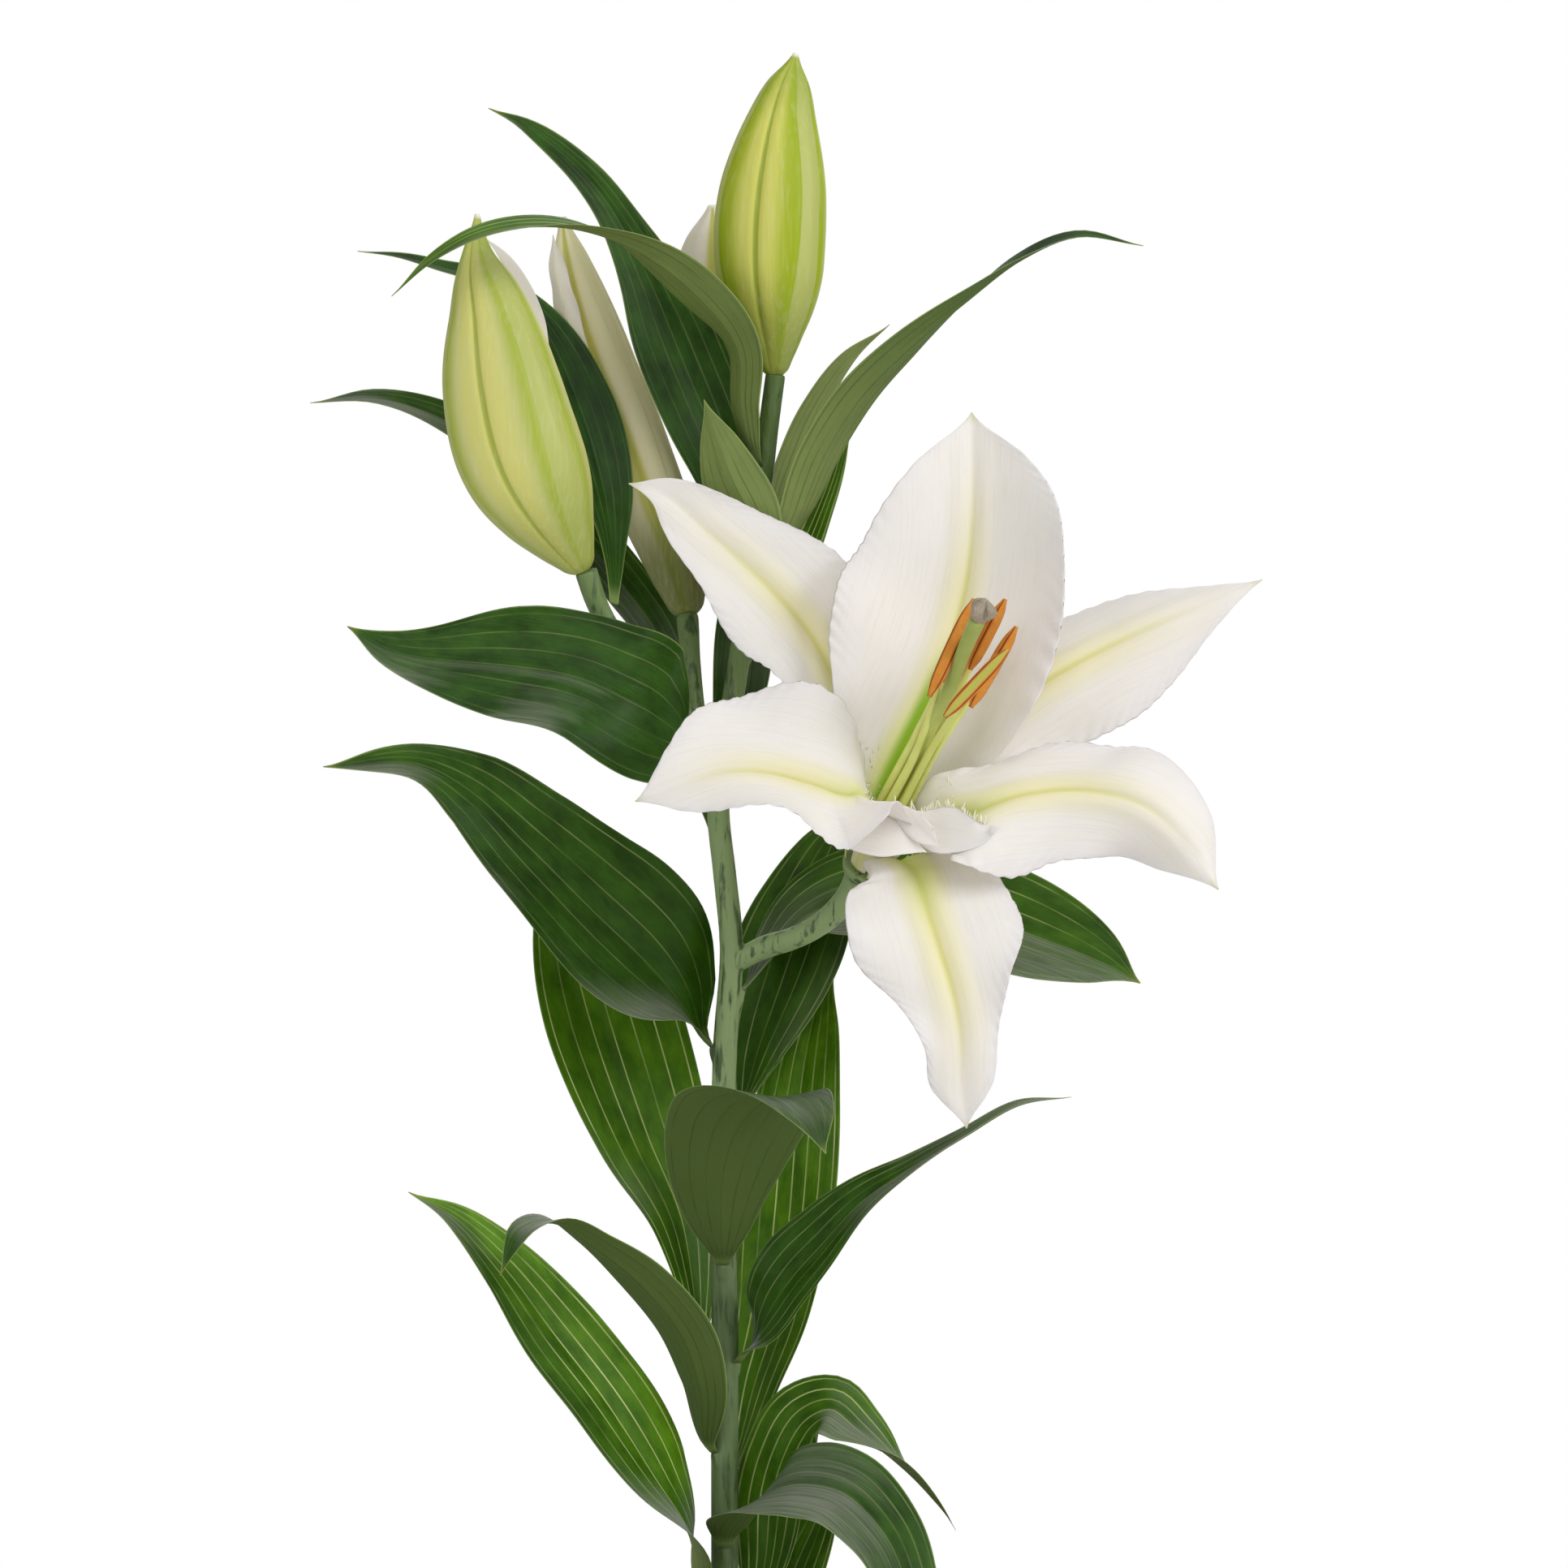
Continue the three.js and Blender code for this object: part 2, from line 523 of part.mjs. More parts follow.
    upper: [[0, -0.8, 0.5], [0, -0.8, 0.6], [0, -0.7, 0.7]],
  },
  {
    name: "leaf_25", at: 158, out: 130, channel: [12, 12],
    line: [[-14, 15, 174], [-34, 36, 186], [-58, 60, 188], [-80, 84, 176]],
    half: [2, 8, 12, 12, 8, 0.5],
    upper: [[0.3, -0.3, 0.8], [0, 0, 1], [-0.3, 0.4, 0.9]],
  },
  {
    name: "leaf_26", at: 178, out: -60, channel: [12, 12],
    line: [[12, -17, 188], [30, -42, 197], [48, -72, 194], [62, -98, 180]],
    half: [2, 8, 12, 12, 8, 0.5],
    upper: [[-0.3, 0.3, 0.8], [0, 0, 1], [0.3, -0.4, 0.9]],
  },
  {
    name: "leaf_27", at: 148, out: 178, channel: [12, 12],
    line: [[-16, 1, 164], [-42, 3, 177], [-72, 5, 178], [-100, 4, 162]],
    half: [2, 8, 13, 12, 8, 0.5],
    upper: [[0.5, 0, 0.8], [0, 0, 1], [-0.4, 0, 0.9]],
  },
  {
    name: "leaf_28", at: 146, out: 75, channel: [12, 12],
    line: [[5, 18, 161], [14, 46, 174], [24, 78, 174], [32, 106, 158]],
    half: [2, 8, 12, 12, 8, 0.5],
    upper: [[0, -0.5, 0.8], [0, 0, 1], [0, 0.4, 0.9]],
  },
  {
    name: "leaf_29", at: 138, out: -140, channel: [12, 12],
    line: [[-14, -12, 150], [-36, -32, 164], [-60, -54, 166], [-82, -76, 154]],
    half: [2, 8, 12, 12, 7, 0.5],
    upper: [[0.4, 0.4, 0.8], [0, 0, 1], [-0.4, -0.4, 0.9]],
  },
];
const LEAF_MESH = { rows: 10, columns: 4, thick: LEAF_THICK };

// A leaf's first two points and the way its upper side faces there: just off the bark at that height,
// outwards and up, with the upper side turned to the stem.
const UP = new THREE.Vector3(0, 0, 1);
const stemPoints = curveThrough(STEM_LINE).getSpacedPoints(400);
function leafFoot(height, degrees) {
  const nearer = (a, b) => (Math.abs(a.z - height) < Math.abs(b.z - height) ? a : b);
  const centre = stemPoints.reduce(nearer);
  const bark = smooth(STEM_RADII, stemPoints.indexOf(centre) / (stemPoints.length - 1));
  const outwards = new THREE.Vector3(1, 0, 0).applyAxisAngle(UP, THREE.MathUtils.degToRad(degrees));
  const foot = centre.clone().addScaledVector(outwards, bark + GAP + LEAF_THICK / 2);
  const knee = foot.clone().addScaledVector(outwards, PETIOLE_REACH).addScaledVector(UP, PETIOLE_RISE);
  const face = outwards.clone().multiplyScalar(-PETIOLE_RISE).addScaledVector(UP, PETIOLE_REACH).normalize();
  return { start: [foot.toArray(), knee.toArray()], face: face.toArray() };
}

for (const { name, at, out, line, upper, ...shape } of LEAVES) {
  const { start, face } = leafFoot(at, out);
  const leaf = blade({ ...LEAF_MESH, ...shape, spine: [...start, ...line], upper: [face, ...upper] });
  place(name, leaf, greenLeaf);
}

// One bract grows from the left bud's stalk.
const BRACT = {
  spine: [
    [-32.6, -12.4, 500], [-33, -5, 513], [-36, 6, 535], [-43, 10, 559], [-55, 14, 584], [-71, 14, 597],
    [-85, 10, 601], [-97, 8, 604], [-109, 6, 605],
  ],
  half: [1.6, 4.5, 9, 11, 9.5, 6, 3.5, 2, 0.5],
  upper: [[0.6, -0.8, 0.2], [0.3, -0.9, 0.3], [0, -0.7, 0.7]],
  channel: [10, 10],
};
place("leaf_03", blade({ ...LEAF_MESH, ...BRACT }), greenLeaf);

// The bloom: six tepals round the axis. The three inner ones are broader and stand in front. `turn` is the
// tepal's place round the axis, in degrees from the top, and `rises` are its first two heights on the tube.
const upwards = squareTo(UP, FLOWER_AXIS);
const spoke = (degrees) => upwards.clone().applyAxisAngle(FLOWER_AXIS, THREE.MathUtils.degToRad(degrees));
const onTube = (rise, degrees, reach) =>
  vector(alongAxis(rise)).addScaledVector(spoke(degrees), reach).toArray();
const INNER = { ring: INNER_TEPAL_RING, tube: [[12, 8], [20, 11]] };
const CLOSE = { ring: INNER_TEPAL_RING, tube: [[12, 7], [20, 8.5]] };
const OUTER = { ring: OUTER_TEPAL_RING, tube: [[13, 12.5], [21, 18]] };
const DEEP = { ring: OUTER_TEPAL_RING, tube: [[11, 9.5]] };

const TEPALS = [
  {
    name: "tepal_inner_top", turn: -12, whorl: INNER, channel: [18, 18], ripple: 2.5,
    line: [[62, -28, 477], [70, -21, 502], [73, -12, 524], [73, 2, 557]],
    half: [3, 10, 24, 34, 36, 34.5, 29, 17, 0.8],
    upper: [[-0.1, -0.8, 0], [-0.3, -1, 0.2], [-0.3, -1, 0.3], [0, -0.9, 0.5]],
  },
  {
    name: "tepal_outer_left", turn: 60, whorl: DEEP, channel: [8, 8], ripple: 2,
    line: [
      [36, -24, 451], [36, -20, 467], [26, -14, 490], [13, -13, 505], [-6, -15, 522], [-18, -18, 532],
      [-28, -20, 535],
    ],
    half: [2.5, 6, 11, 17, 21, 20.5, 15, 9, 0.8],
    upper: [[0.5, -0.8, 0], [0.4, -0.9, 0.1], [0.2, -1, 0.2], [-0.2, -1, 0.2]],
  },
  {
    name: "tepal_inner_left", turn: 120, whorl: CLOSE, channel: [12, 20, 20, 20, 20], ripple: 3,
    line: [
      [39, -47.5, 444], [36, -50, 449], [30, -54, 452.5], [16, -61, 453], [2, -66, 451], [-11, -68, 447],
      [-25, -68, 442],
    ],
    half: [3, 6.4, 16.5, 24, 28, 25.5, 20, 11, 0.8],
    upper: [
      [0.65, 0.35, 0.35], [0.63, -0.05, 0.38], [0.35, -0.75, 0.5], [0, -0.8, 0.6], [0, -0.8, 0.5],
      [-0.2, -0.9, 0.3],
    ],
    lean: [0, -2, -6, -10, -7, -3, 0, 0, 0],
  },
  {
    name: "tepal_outer_bottom", turn: 180, whorl: OUTER, channel: [6, 6], ripple: 2.5,
    line: [[56, -52, 421], [59, -60, 409], [62.5, -64, 393], [67, -63, 372], [70, -56, 348]],
    half: [2.5, 7, 16, 24, 25, 16.5, 11, 9, 0.8],
    upper: [[0, -0.3, 0.9], [0, -0.8, 0.5], [0, -1, 0.1], [0, -1, -0.2]],
    lean: [0, 0, 0, 0, -1, -2, -1.5, 0, 0],
  },
  {
    name: "tepal_inner_right", turn: 240, whorl: INNER, channel: [15, 10, -20, -32, -32], ripple: 3,
    line: [
      [64, -45, 445], [72, -49.5, 448], [81, -53, 448.5], [95, -57, 446.3], [107, -61, 442.4],
      [119, -63, 437.3], [131, -63, 429.2], [142, -62, 416.7],
    ],
    half: [3, 5.5, 14, 19, 24, 22.5, 19, 13, 0.8],
    upper: [[-0.5, -0.6, 0.4], [0, -0.82, 0.57], [0.1, -0.95, 0], [0.3, -0.9, -0.3]],
    lean: [0, 1, 9, 11, 4, -2, -4, -2, 0],
  },
  {
    name: "tepal_outer_right", turn: 300, whorl: OUTER, channel: [12, 0, -26, -26, -26], ripple: 2,
    line: [
      [68, -27, 456.5], [82, -22, 469], [97, -18, 479], [116, -14, 489], [135, -13, 497.5], [158, -14, 507],
    ],
    half: [2.5, 6, 10, 17, 22, 23, 17, 8, 0.8],
    upper: [[-0.2, -0.9, 0], [0, -0.9, 0.4], [0, -0.88, 0.47], [0.2, -0.9, 0.4]],
  },
];
for (const { name, turn, whorl, line, upper, ...shape } of TEPALS) {
  const tube = whorl.tube.map(([rise, reach]) => onTube(rise, turn, reach));
  const spine = [onTube(PETAL_SEAT, turn, whorl.ring), ...tube, ...line];
  const faces = [spoke(turn + 180).toArray(), ...upper];
  const form = { ...shape, spine, upper: faces, phase: turn / 40, rows: 12, columns: 6, thick: TEPAL_THICK };
  place(name, blade(form), whiteTepal);
}

// The pistil: ovary and style in one, with the three-lobed stigma on its end.
const STYLE = {
  spine: [
    alongAxis(PETAL_SEAT), alongAxis(14), [51, -39, 445], [58, -49, 459], [65, -59, 473], [71, -69, 487],
    [74, -74, 494],
  ],
  radii: [2.3, 2.3, 1.9, 1.7, 1.8, 2.1, 2.4],
  sides: 8, rings: 10, side: [0, 0, 1],
};
place("pistil", spindle(STYLE), paleGreen);
const STIGMA = {
  spine: [[74.3, -74.5, 494.4], [75.3, -76.2, 497], [76, -77.6, 499]],
  radii: [3, 4, 3.8, 2],
  sides: 12, rings: 4, lobes: 3, depth: 0.3, side: [0, 0, 1],
};
place("stigma", spindle(STIGMA), mauveStigma);

// Six stamens: a filament from the ring round the ovary, and an anther balanced across its tip.
const ANTHERS = [
  { turn: 0, ends: [[78, -46, 498], [69, -44, 478]] },
  { turn: 300, ends: [[81, -58, 500], [71, -52, 480]] },
  { turn: 240, ends: [[84, -64, 492], [71, -60, 469]] },
  { turn: 180, ends: [[81, -78, 485], [63, -83, 466]] },
  { turn: 120, ends: [[72, -62, 500], [59, -68, 472]] },
  { turn: 60, ends: [[71, -52, 495], [64, -50, 476]] },
];
const BACKWARDS = new THREE.Vector3(0, 1, 0);
const FILAMENT_BEND = [58, -49, 459]; // middle of the ring of filaments where they spread
ANTHERS.forEach(({ turn, ends }, k) => {
  const [top, bottom] = ends.map(vector);
  const middle = top.clone().lerp(bottom, 0.5);
  const lengthwise = top.clone().sub(bottom).normalize();
  const bend = vector(FILAMENT_BEND).addScaledVector(spoke(turn), 5);
  const homewards = bend.clone().sub(middle).normalize();
  const behind = squareTo(BACKWARDS, lengthwise);
  const seat = middle.clone().addScaledVector(behind, ANTHER_RADIUS + GAP + FILAMENT_TIP);
  const approach = seat.clone().addScaledVector(behind, 1.5).addScaledVector(homewards, 7);
  const filament = {
    spine: [
      onTube(PETAL_SEAT, turn, FILAMENT_RING), onTube(16, turn, 4.6), bend.toArray(), approach.toArray(),
      seat.toArray(),
    ],
    radii: [FILAMENT_RADIUS, FILAMENT_RADIUS, 0.7, FILAMENT_TIP],
    sides: 6, rings: 7, side: [0, 0, 1],
  };
  place("filament_" + (k + 1), spindle(filament), paleGreen);
  const anther = {
    spine: [top.toArray(), middle.toArray(), bottom.toArray()],
    radii: [1, 2.2, ANTHER_RADIUS, 2.2, 1],
    sides: 8, rings: 5, side: [1, 0, 0],
  };
  place("anther_" + (k + 1), spindle(anther), orangePollen);
});

export default lily;
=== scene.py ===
"""A potted oriental lily, put together from the pot and soil up: bulb, stem, buds, leaves and bloom."""

import bpy
import numpy as np
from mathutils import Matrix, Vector


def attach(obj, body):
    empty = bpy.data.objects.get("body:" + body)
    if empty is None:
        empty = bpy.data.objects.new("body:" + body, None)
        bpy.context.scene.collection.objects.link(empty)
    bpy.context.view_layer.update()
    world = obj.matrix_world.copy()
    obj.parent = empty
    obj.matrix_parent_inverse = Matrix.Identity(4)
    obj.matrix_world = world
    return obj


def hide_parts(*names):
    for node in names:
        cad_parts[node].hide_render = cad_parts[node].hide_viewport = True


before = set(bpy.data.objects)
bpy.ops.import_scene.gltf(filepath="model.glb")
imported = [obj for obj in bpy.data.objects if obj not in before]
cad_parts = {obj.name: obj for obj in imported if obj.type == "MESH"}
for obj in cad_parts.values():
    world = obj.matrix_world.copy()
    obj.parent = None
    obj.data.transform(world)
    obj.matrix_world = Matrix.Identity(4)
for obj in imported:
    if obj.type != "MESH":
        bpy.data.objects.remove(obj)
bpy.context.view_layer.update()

# The flower pot. Red clay thrown on a wheel and fired without a glaze, with a thick band under its rim.
# Its wall keeps faint rings from the potter's fingers, and lime from the water blooms on the outside.
MM = 0.001
POT_HEIGHT, POT_RIM, POT_BAND, POT_FOOT, POT_SHOULDER, POT_WALL, POT_FLOOR = 140, 80, 116, 54, 75, 6.5, 8
RING_DEPTH, RING_TURNS, RING_START = 0.0014, 1.45, 6  # share of the radius, radians to a mm, lowest one


def colour(code):
    """An sRGB hex value as the linear colour that the shaders work in."""
    part = np.array([int(code[i : i + 2], 16) for i in (1, 3, 5)]) / 255
    linear = np.where(part <= 0.04045, part / 12.92, ((part + 0.055) / 1.055) ** 2.4)
    return (*linear, 1.0)


def material(name, values):
    """A node material with one Principled shader, whose even values are set on the shader's own sockets."""
    made = bpy.data.materials.new(name)
    made.use_nodes = True
    for socket, value in values.items():
        made.node_tree.nodes["Principled BSDF"].inputs[socket].default_value = value
    return made


def add(to, kind, inputs, out=0, **options):
    """Adds a node with its options, gives each input a value or a link, and returns the output out."""
    node = to.node_tree.nodes.new("ShaderNode" + kind)
    for option, value in options.items():
        setattr(node, option, value)
    for socket, value in inputs.items():
        if isinstance(value, bpy.types.NodeSocket):
            to.node_tree.links.new(value, node.inputs[socket])
        else:
            node.inputs[socket].default_value = value
    return node.outputs[out]


RGBA = {"data_type": "RGBA"}
SMOOTH = {"interpolation_type": "SMOOTHSTEP"}
TIMES = {"operation": "MULTIPLY"}


def tinted(to, tone, *layers):
    """Lays tints over a tone in turn. A layer is a tint and one or more shares.

    The product of the shares is how much of the tint shows. A share is an output, or what is read, where
    the tint starts and where it is full, and how much of it shows there.
    """
    as_colour = lambda tint: colour(tint) if isinstance(tint, str) else tint
    tone = as_colour(tone)
    for tint, *shares in layers:
        product = None
        for share in shares:
            if isinstance(share, tuple):
                share = add(to, "MapRange", dict(zip((0, 1, 2, 4), share)), **SMOOTH)
            product = share if product is None else add(to, "Math", {0: product, 1: share}, **TIMES)
        tone = add(to, "Mix", {0: product, 6: tone, 7: as_colour(tint)}, 2, **RGBA)
    return tone


def dress(to, tone, rough, relief=None, strength=0.0, depth=0.0):
    """Gives a material its tone and roughness, and from a relief a bump of that strength and depth in metres.

    rough is an output, or what is read and the roughness where that is 0 and where it is 1.
    """
    if isinstance(rough, tuple):
        rough = add(to, "MapRange", dict(zip((0, 3, 4), rough)))
    links = {"Base Color": tone, "Roughness": rough}
    if relief is not None:
        links["Normal"] = add(to, "Bump", {"Height": relief, "Strength": strength, "Distance": depth})
    for socket, output in links.items():
        to.node_tree.links.new(output, to.node_tree.nodes["Principled BSDF"].inputs[socket])


def skin(rings, **marks):
    """A closed body from rings of points: four-sided faces between neighbours, a fan on each end ring.

    rings is rings x points x 3, in millimetres. Each mark has three values for every point of the rings.
    The faces are turned round if the body's volume, summed about its middle, comes out negative.
    """
    count, k = rings.shape[:2]
    row, j = np.arange(count - 1)[:, None] * k, np.arange(k)
    after = (j + 1) % k
    quads = np.stack([row + j, row + after, row + k + after, row + k + j], -1).reshape(-1, 4)
    first, last = np.full(k, count * k), np.full(k, count * k + 1)
    end = (count - 1) * k
    fans = np.concatenate([np.stack([after, j, first], -1), np.stack([end + j, end + after, last], -1)])
    with_ends = lambda v: np.concatenate([v.reshape(-1, 3), v[[0, -1]].mean(1)])
    points = with_ends(rings)
    triangles = np.concatenate([quads[:, :3], quads[:, [0, 2, 3]], fans])
    a, b, c = np.moveaxis((points - points.mean(0))[triangles], 1, 0)
    if np.sum(np.cross(a, b) * c) < 0:
        quads, fans = quads[:, ::-1], fans[:, ::-1]
    return {"points": points, "faces": [quads, fans], "marks": {n: with_ends(v) for n, v in marks.items()}}


def piece(name, bodies, finish, slot, *nodes):
    """One object of the plant from closed bodies, in the finish given; slot is not used. It stands for the
    CAD nodes named.
    """
    start = np.cumsum([0] + [len(b["points"]) for b in bodies])
    faces = [f + s for b, s in zip(bodies, start) for f in b["faces"]]
    corners = np.concatenate([f.ravel() for f in faces])
    sizes = np.concatenate([np.full(len(f), f.shape[1]) for f in faces])
    mesh = bpy.data.meshes.new(name)
    mesh.vertices.add(start[-1])
    mesh.vertices.foreach_set("co", np.concatenate([b["points"] for b in bodies]).ravel() * MM)
    mesh.loops.add(len(corners))
    mesh.loops.foreach_set("vertex_index", corners)
    mesh.polygons.add(len(sizes))
    mesh.polygons.foreach_set("loop_start", np.cumsum(sizes) - sizes)
    mesh.update(calc_edges=True)
    mesh.shade_smooth()
    for mark in bodies[0]["marks"]:
        values = np.concatenate([b["marks"][mark] for b in bodies])
        mesh.attributes.new(mark, "FLOAT_VECTOR", "POINT").data.foreach_set("vector", values.ravel())
    mesh.materials.append(finish)
    made = bpy.data.objects.new(name, mesh)
    bpy.context.scene.collection.objects.link(made)
    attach(made, "root")
    if nodes:
        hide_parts(*nodes)
    return made


def turned(profile, segments, step):
    """Rings about the upright axis, one every step millimetres along a profile of radius and height pairs."""
    corners = np.array(profile, float)
    run = np.append(0, np.cumsum(np.linalg.norm(np.diff(corners, axis=0), axis=1)))
    at = np.unique(np.append(run, np.arange(0, run[-1], step)))
    r, z = np.interp(at, run, corners[:, 0])[:, None], np.interp(at, run, corners[:, 1])[:, None]
    angle = np.linspace(0, 2 * np.pi, segments, endpoint=False)
    return np.stack([r * np.cos(angle), r * np.sin(angle), z + 0 * angle], -1)


def inside(z):
    """The radius of the pot's inside at a height under the shoulder: the straight wall less its thickness."""
    return POT_FOOT + (POT_SHOULDER - POT_FOOT) * z / POT_BAND - POT_WALL


wall = turned(
    [
        (POT_FOOT - 2, 0), (POT_FOOT - 0.6, 0.5), (POT_FOOT, 2), (POT_SHOULDER, POT_BAND),
        (POT_RIM - 1.8, POT_BAND + 0.1), (POT_RIM - 0.5, POT_BAND + 0.7), (POT_RIM, POT_BAND + 2.2),
        (POT_RIM, POT_HEIGHT - 3.2), (POT_RIM - 0.6, POT_HEIGHT - 1.2), (POT_RIM - 2.2, POT_HEIGHT - 0.1),
        (POT_RIM - POT_WALL + 1.2, POT_HEIGHT), (POT_RIM - POT_WALL, POT_HEIGHT - 1),
        (inside(POT_BAND - 4), POT_BAND - 4), (inside(POT_FLOOR), POT_FLOOR),
    ],
    segments=112,
    step=2.4,
)
wall[:, :, :2] *= 1 + RING_DEPTH * np.sin(wall[:, :, 2:] * RING_TURNS) * (wall[:, :, 2:] > RING_START)

# Fired terracotta: matt and porous, its red broken by darker grit and a chalky bloom near the rim and foot.
clay = material("fired_terracotta", {"Specular IOR Level": 0.25, "IOR": 1.5})
spot = add(clay, "TexCoord", {}, "Object")
height = add(clay, "SeparateXYZ", {0: spot}, 2)
grit = add(clay, "TexNoise", {"Vector": spot, "Scale": 700, "Detail": 6, "Roughness": 0.7})
cloud = add(clay, "TexNoise", {"Vector": spot, "Scale": 30, "Detail": 5, "Roughness": 0.6})
low = add(clay, "MapRange", {0: height, 1: 0.028, 2: 0.0, 4: 0.55}, **SMOOTH)
high = add(clay, "MapRange", {0: height, 1: 0.1, 2: 0.14, 4: 0.6}, **SMOOTH)
lime = add(clay, "Math", {0: low, 1: high}, operation="MAXIMUM")
fired = tinted(
    clay, "#a9532f",
    ("#c8764b", cloud),
    ("#7d3d25", (grit, 0.6, 0.72, 1)),  # darker grit
    ("#dcc4ae", lime, (cloud, 0.45, 0.66, 1)),
)
dress(clay, fired, (cloud, 0.75, 0.95), grit, 0.5, 0.0003)
piece("clay_pot", [skin(wall)], clay, "terracotta", "pot")

# The potting soil: peat with crumbs of bark and a little pumice, heaped slightly round the stem.
# Its surface is lumpy, and loose crumbs of one to six millimetres lie on it.
SOIL_TOP, SOIL_EDGE = 122, 72.6
chance = np.random.default_rng(11)


def heaped(x, y):
    """The soil's height: slow waves, a mound round the stem, and small lumps where nine waves cross."""
    slow = np.sin(0.31 * x + 1.1) * np.sin(0.27 * y) + 0.7 * np.sin(0.52 * y + 0.4 * x) - 0.6
    r = np.hypot(x, y)
    turn = np.linspace(0, np.pi, 9)[:, None] * 3.7
    along_wave = x.ravel() * np.cos(turn) + y.ravel() * np.sin(turn)
    waves = np.sin(along_wave * np.linspace(0.7, 1.7, 9)[:, None] + turn)
    lumps = np.abs(waves).prod(0).reshape(x.shape) ** 0.25
    inner = np.clip((SOIL_EDGE - r) / 8, 0, 1)
    lumps *= np.clip((SOIL_EDGE + 1 - r) / 3, 0, 1)
    return SOIL_TOP + inner * (2.2 * slow + 3 * np.exp(-r / 18)) + 1.5 * lumps


angle = np.linspace(0, 2 * np.pi, 140, endpoint=False)
r = np.linspace(0.6, SOIL_EDGE, 58)[:, None]
x, y = r * np.cos(angle), r * np.sin(angle)
top = np.stack([x, y, heaped(x, y)], -1)
below = [(SOIL_EDGE, SOIL_TOP - 1), (inside(112) - 0.3, 112), (inside(90) - 0.3, 90), (20, 88)]
below = turned(below, segments=140, step=6)
bed = skin(np.concatenate([top, below]))
bed["marks"]["tone"] = np.full(bed["points"].shape, 0.2)

CRUMBS = 520
gold = (1 + 5**0.5) / 2
cube = np.array([(0, 1, gold), (0, -1, gold), (0, 1, -gold), (0, -1, -gold)]) / np.hypot(1, gold)
corners = np.concatenate([np.roll(cube, i, 1) for i in range(3)])
apart = np.linalg.norm(corners[:, None] - corners, axis=2)
near = (apart > 0.1) & (apart < 1.2)
sides = np.argwhere(near[:, :, None] & near[None] & near[:, None])
sides = sides[(sides[:, 0] < sides[:, 1]) & (sides[:, 1] < sides[:, 2])]
a, b, c = (corners[sides[:, i]] for i in range(3))
inwards = np.sum(np.cross(b - a, c - a) * a, 1) < 0
sides[inwards] = sides[inwards][:, ::-1]
size = 0.55 + 2.4 * chance.random((CRUMBS, 1, 1)) ** 3
shape = corners * chance.uniform(0.55, 1.25, (CRUMBS, 1, 3)) * chance.uniform(0.82, 1.18, (CRUMBS, 12, 1))
spin = np.linalg.qr(chance.normal(size=(CRUMBS, 3, 3)))[0]
spin *= np.linalg.det(spin)[:, None, None]
away = np.sqrt(chance.uniform(0.012, 0.93, CRUMBS)) * SOIL_EDGE
about = chance.uniform(0, 2 * np.pi, CRUMBS)
x, y = away * np.cos(about), away * np.sin(about)
rest = np.stack([x, y, heaped(x, y) + size[:, 0, 0] * 0.35], -1)
crumbs = (size * shape @ spin + rest[:, None]).reshape(-1, 3)
tones = np.repeat(chance.random(CRUMBS) ** 2, 12)[:, None] * np.ones(3)
loose = {
    "points": crumbs,
    "faces": [(sides + 12 * np.arange(CRUMBS)[:, None, None]).reshape(-1, 3)],
    "marks": {"tone": tones},
}

# Damp peat: nearly black brown, without gloss. The mark "tone" makes some crumbs pale bark and a few pumice.
peat = material("damp_peat", {"Specular IOR Level": 0.2})
spot = add(peat, "TexCoord", {}, "Object")
tone = add(peat, "SeparateXYZ", {0: add(peat, "Attribute", {}, "Vector", attribute_name="tone")})
fine = add(peat, "TexNoise", {"Vector": spot, "Scale": 420, "Detail": 8, "Roughness": 0.72})
white = add(peat, "MapRange", {0: tone, 1: 0.9, 2: 0.92})
dark = tinted(peat, "#1c120b", ("#4b3322", fine), ("#7a5636", (tone, 0.45, 0.8, 1)), ("#c9c1b2", white))
dress(peat, dark, (fine, 0.8, 1.0), fine, 0.8, 0.0009)
piece("potting_soil", [bed, loose], peat, "soil", "soil")

# The bulb: fleshy overlapping scales, cream with a papery skin that browns in patches. It sits in the soil.
# Its solid shows the scales already, so it keeps its own mesh.
scales = material("bulb_scale_flesh", {"Specular IOR Level": 0.4})
spot = add(scales, "TexCoord", {}, "Object")
patch = add(scales, "TexNoise", {"Vector": spot, "Scale": 90, "Detail": 5})
dress(scales, tinted(scales, "#e6dab4", ("#b08a5a", patch)), (patch, 0.45, 0.75), patch, 0.4, 0.0006)
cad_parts["bulb"].data.materials.clear()
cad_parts["bulb"].data.materials.append(scales)

# The stem: one green shoot from the bulb to the top bud, with a stalk for the bloom and for each other bud.
# A leaf stands on a low cushion of the bark. The tubes are melted together, so that no seam shows at a fork.
FLOWER_BASE = np.array((42.0, -22, 424))
FLOWER_AXIS = np.array((0.27, -0.68, 0.67)) / np.linalg.norm((0.27, -0.68, 0.67))
GAP = 0.3  # between two pieces that touch: a leaf's foot and the bark, a filament and its anther


def ease(values, t):
    """Smooth values at shares t of an evenly spaced list: a cubic between two, sloped by their neighbours."""
    v = np.asarray(values, float)
    last = len(v) - 1
    i = np.clip((t * last).astype(int), 0, last - 1)
    f = (t * last - i).reshape(t.shape + (1,) * (v.ndim - 1))
    a, b, c, d = (v[np.clip(i + k, 0, last)] for k in (-1, 0, 1, 2))
    return b + 0.5 * f * (c - a + f * (2 * a - 5 * b + 4 * c - d + f * (3 * (b - c) + d - a)))


def unit(v):
    """Each vector at a length of one."""
    return v / np.linalg.norm(v, axis=-1, keepdims=True)


def square(direction, along):
    """The part of each direction that is square to along, at a length of one."""
    return unit(direction - np.sum(direction * along, -1, keepdims=True) * along)


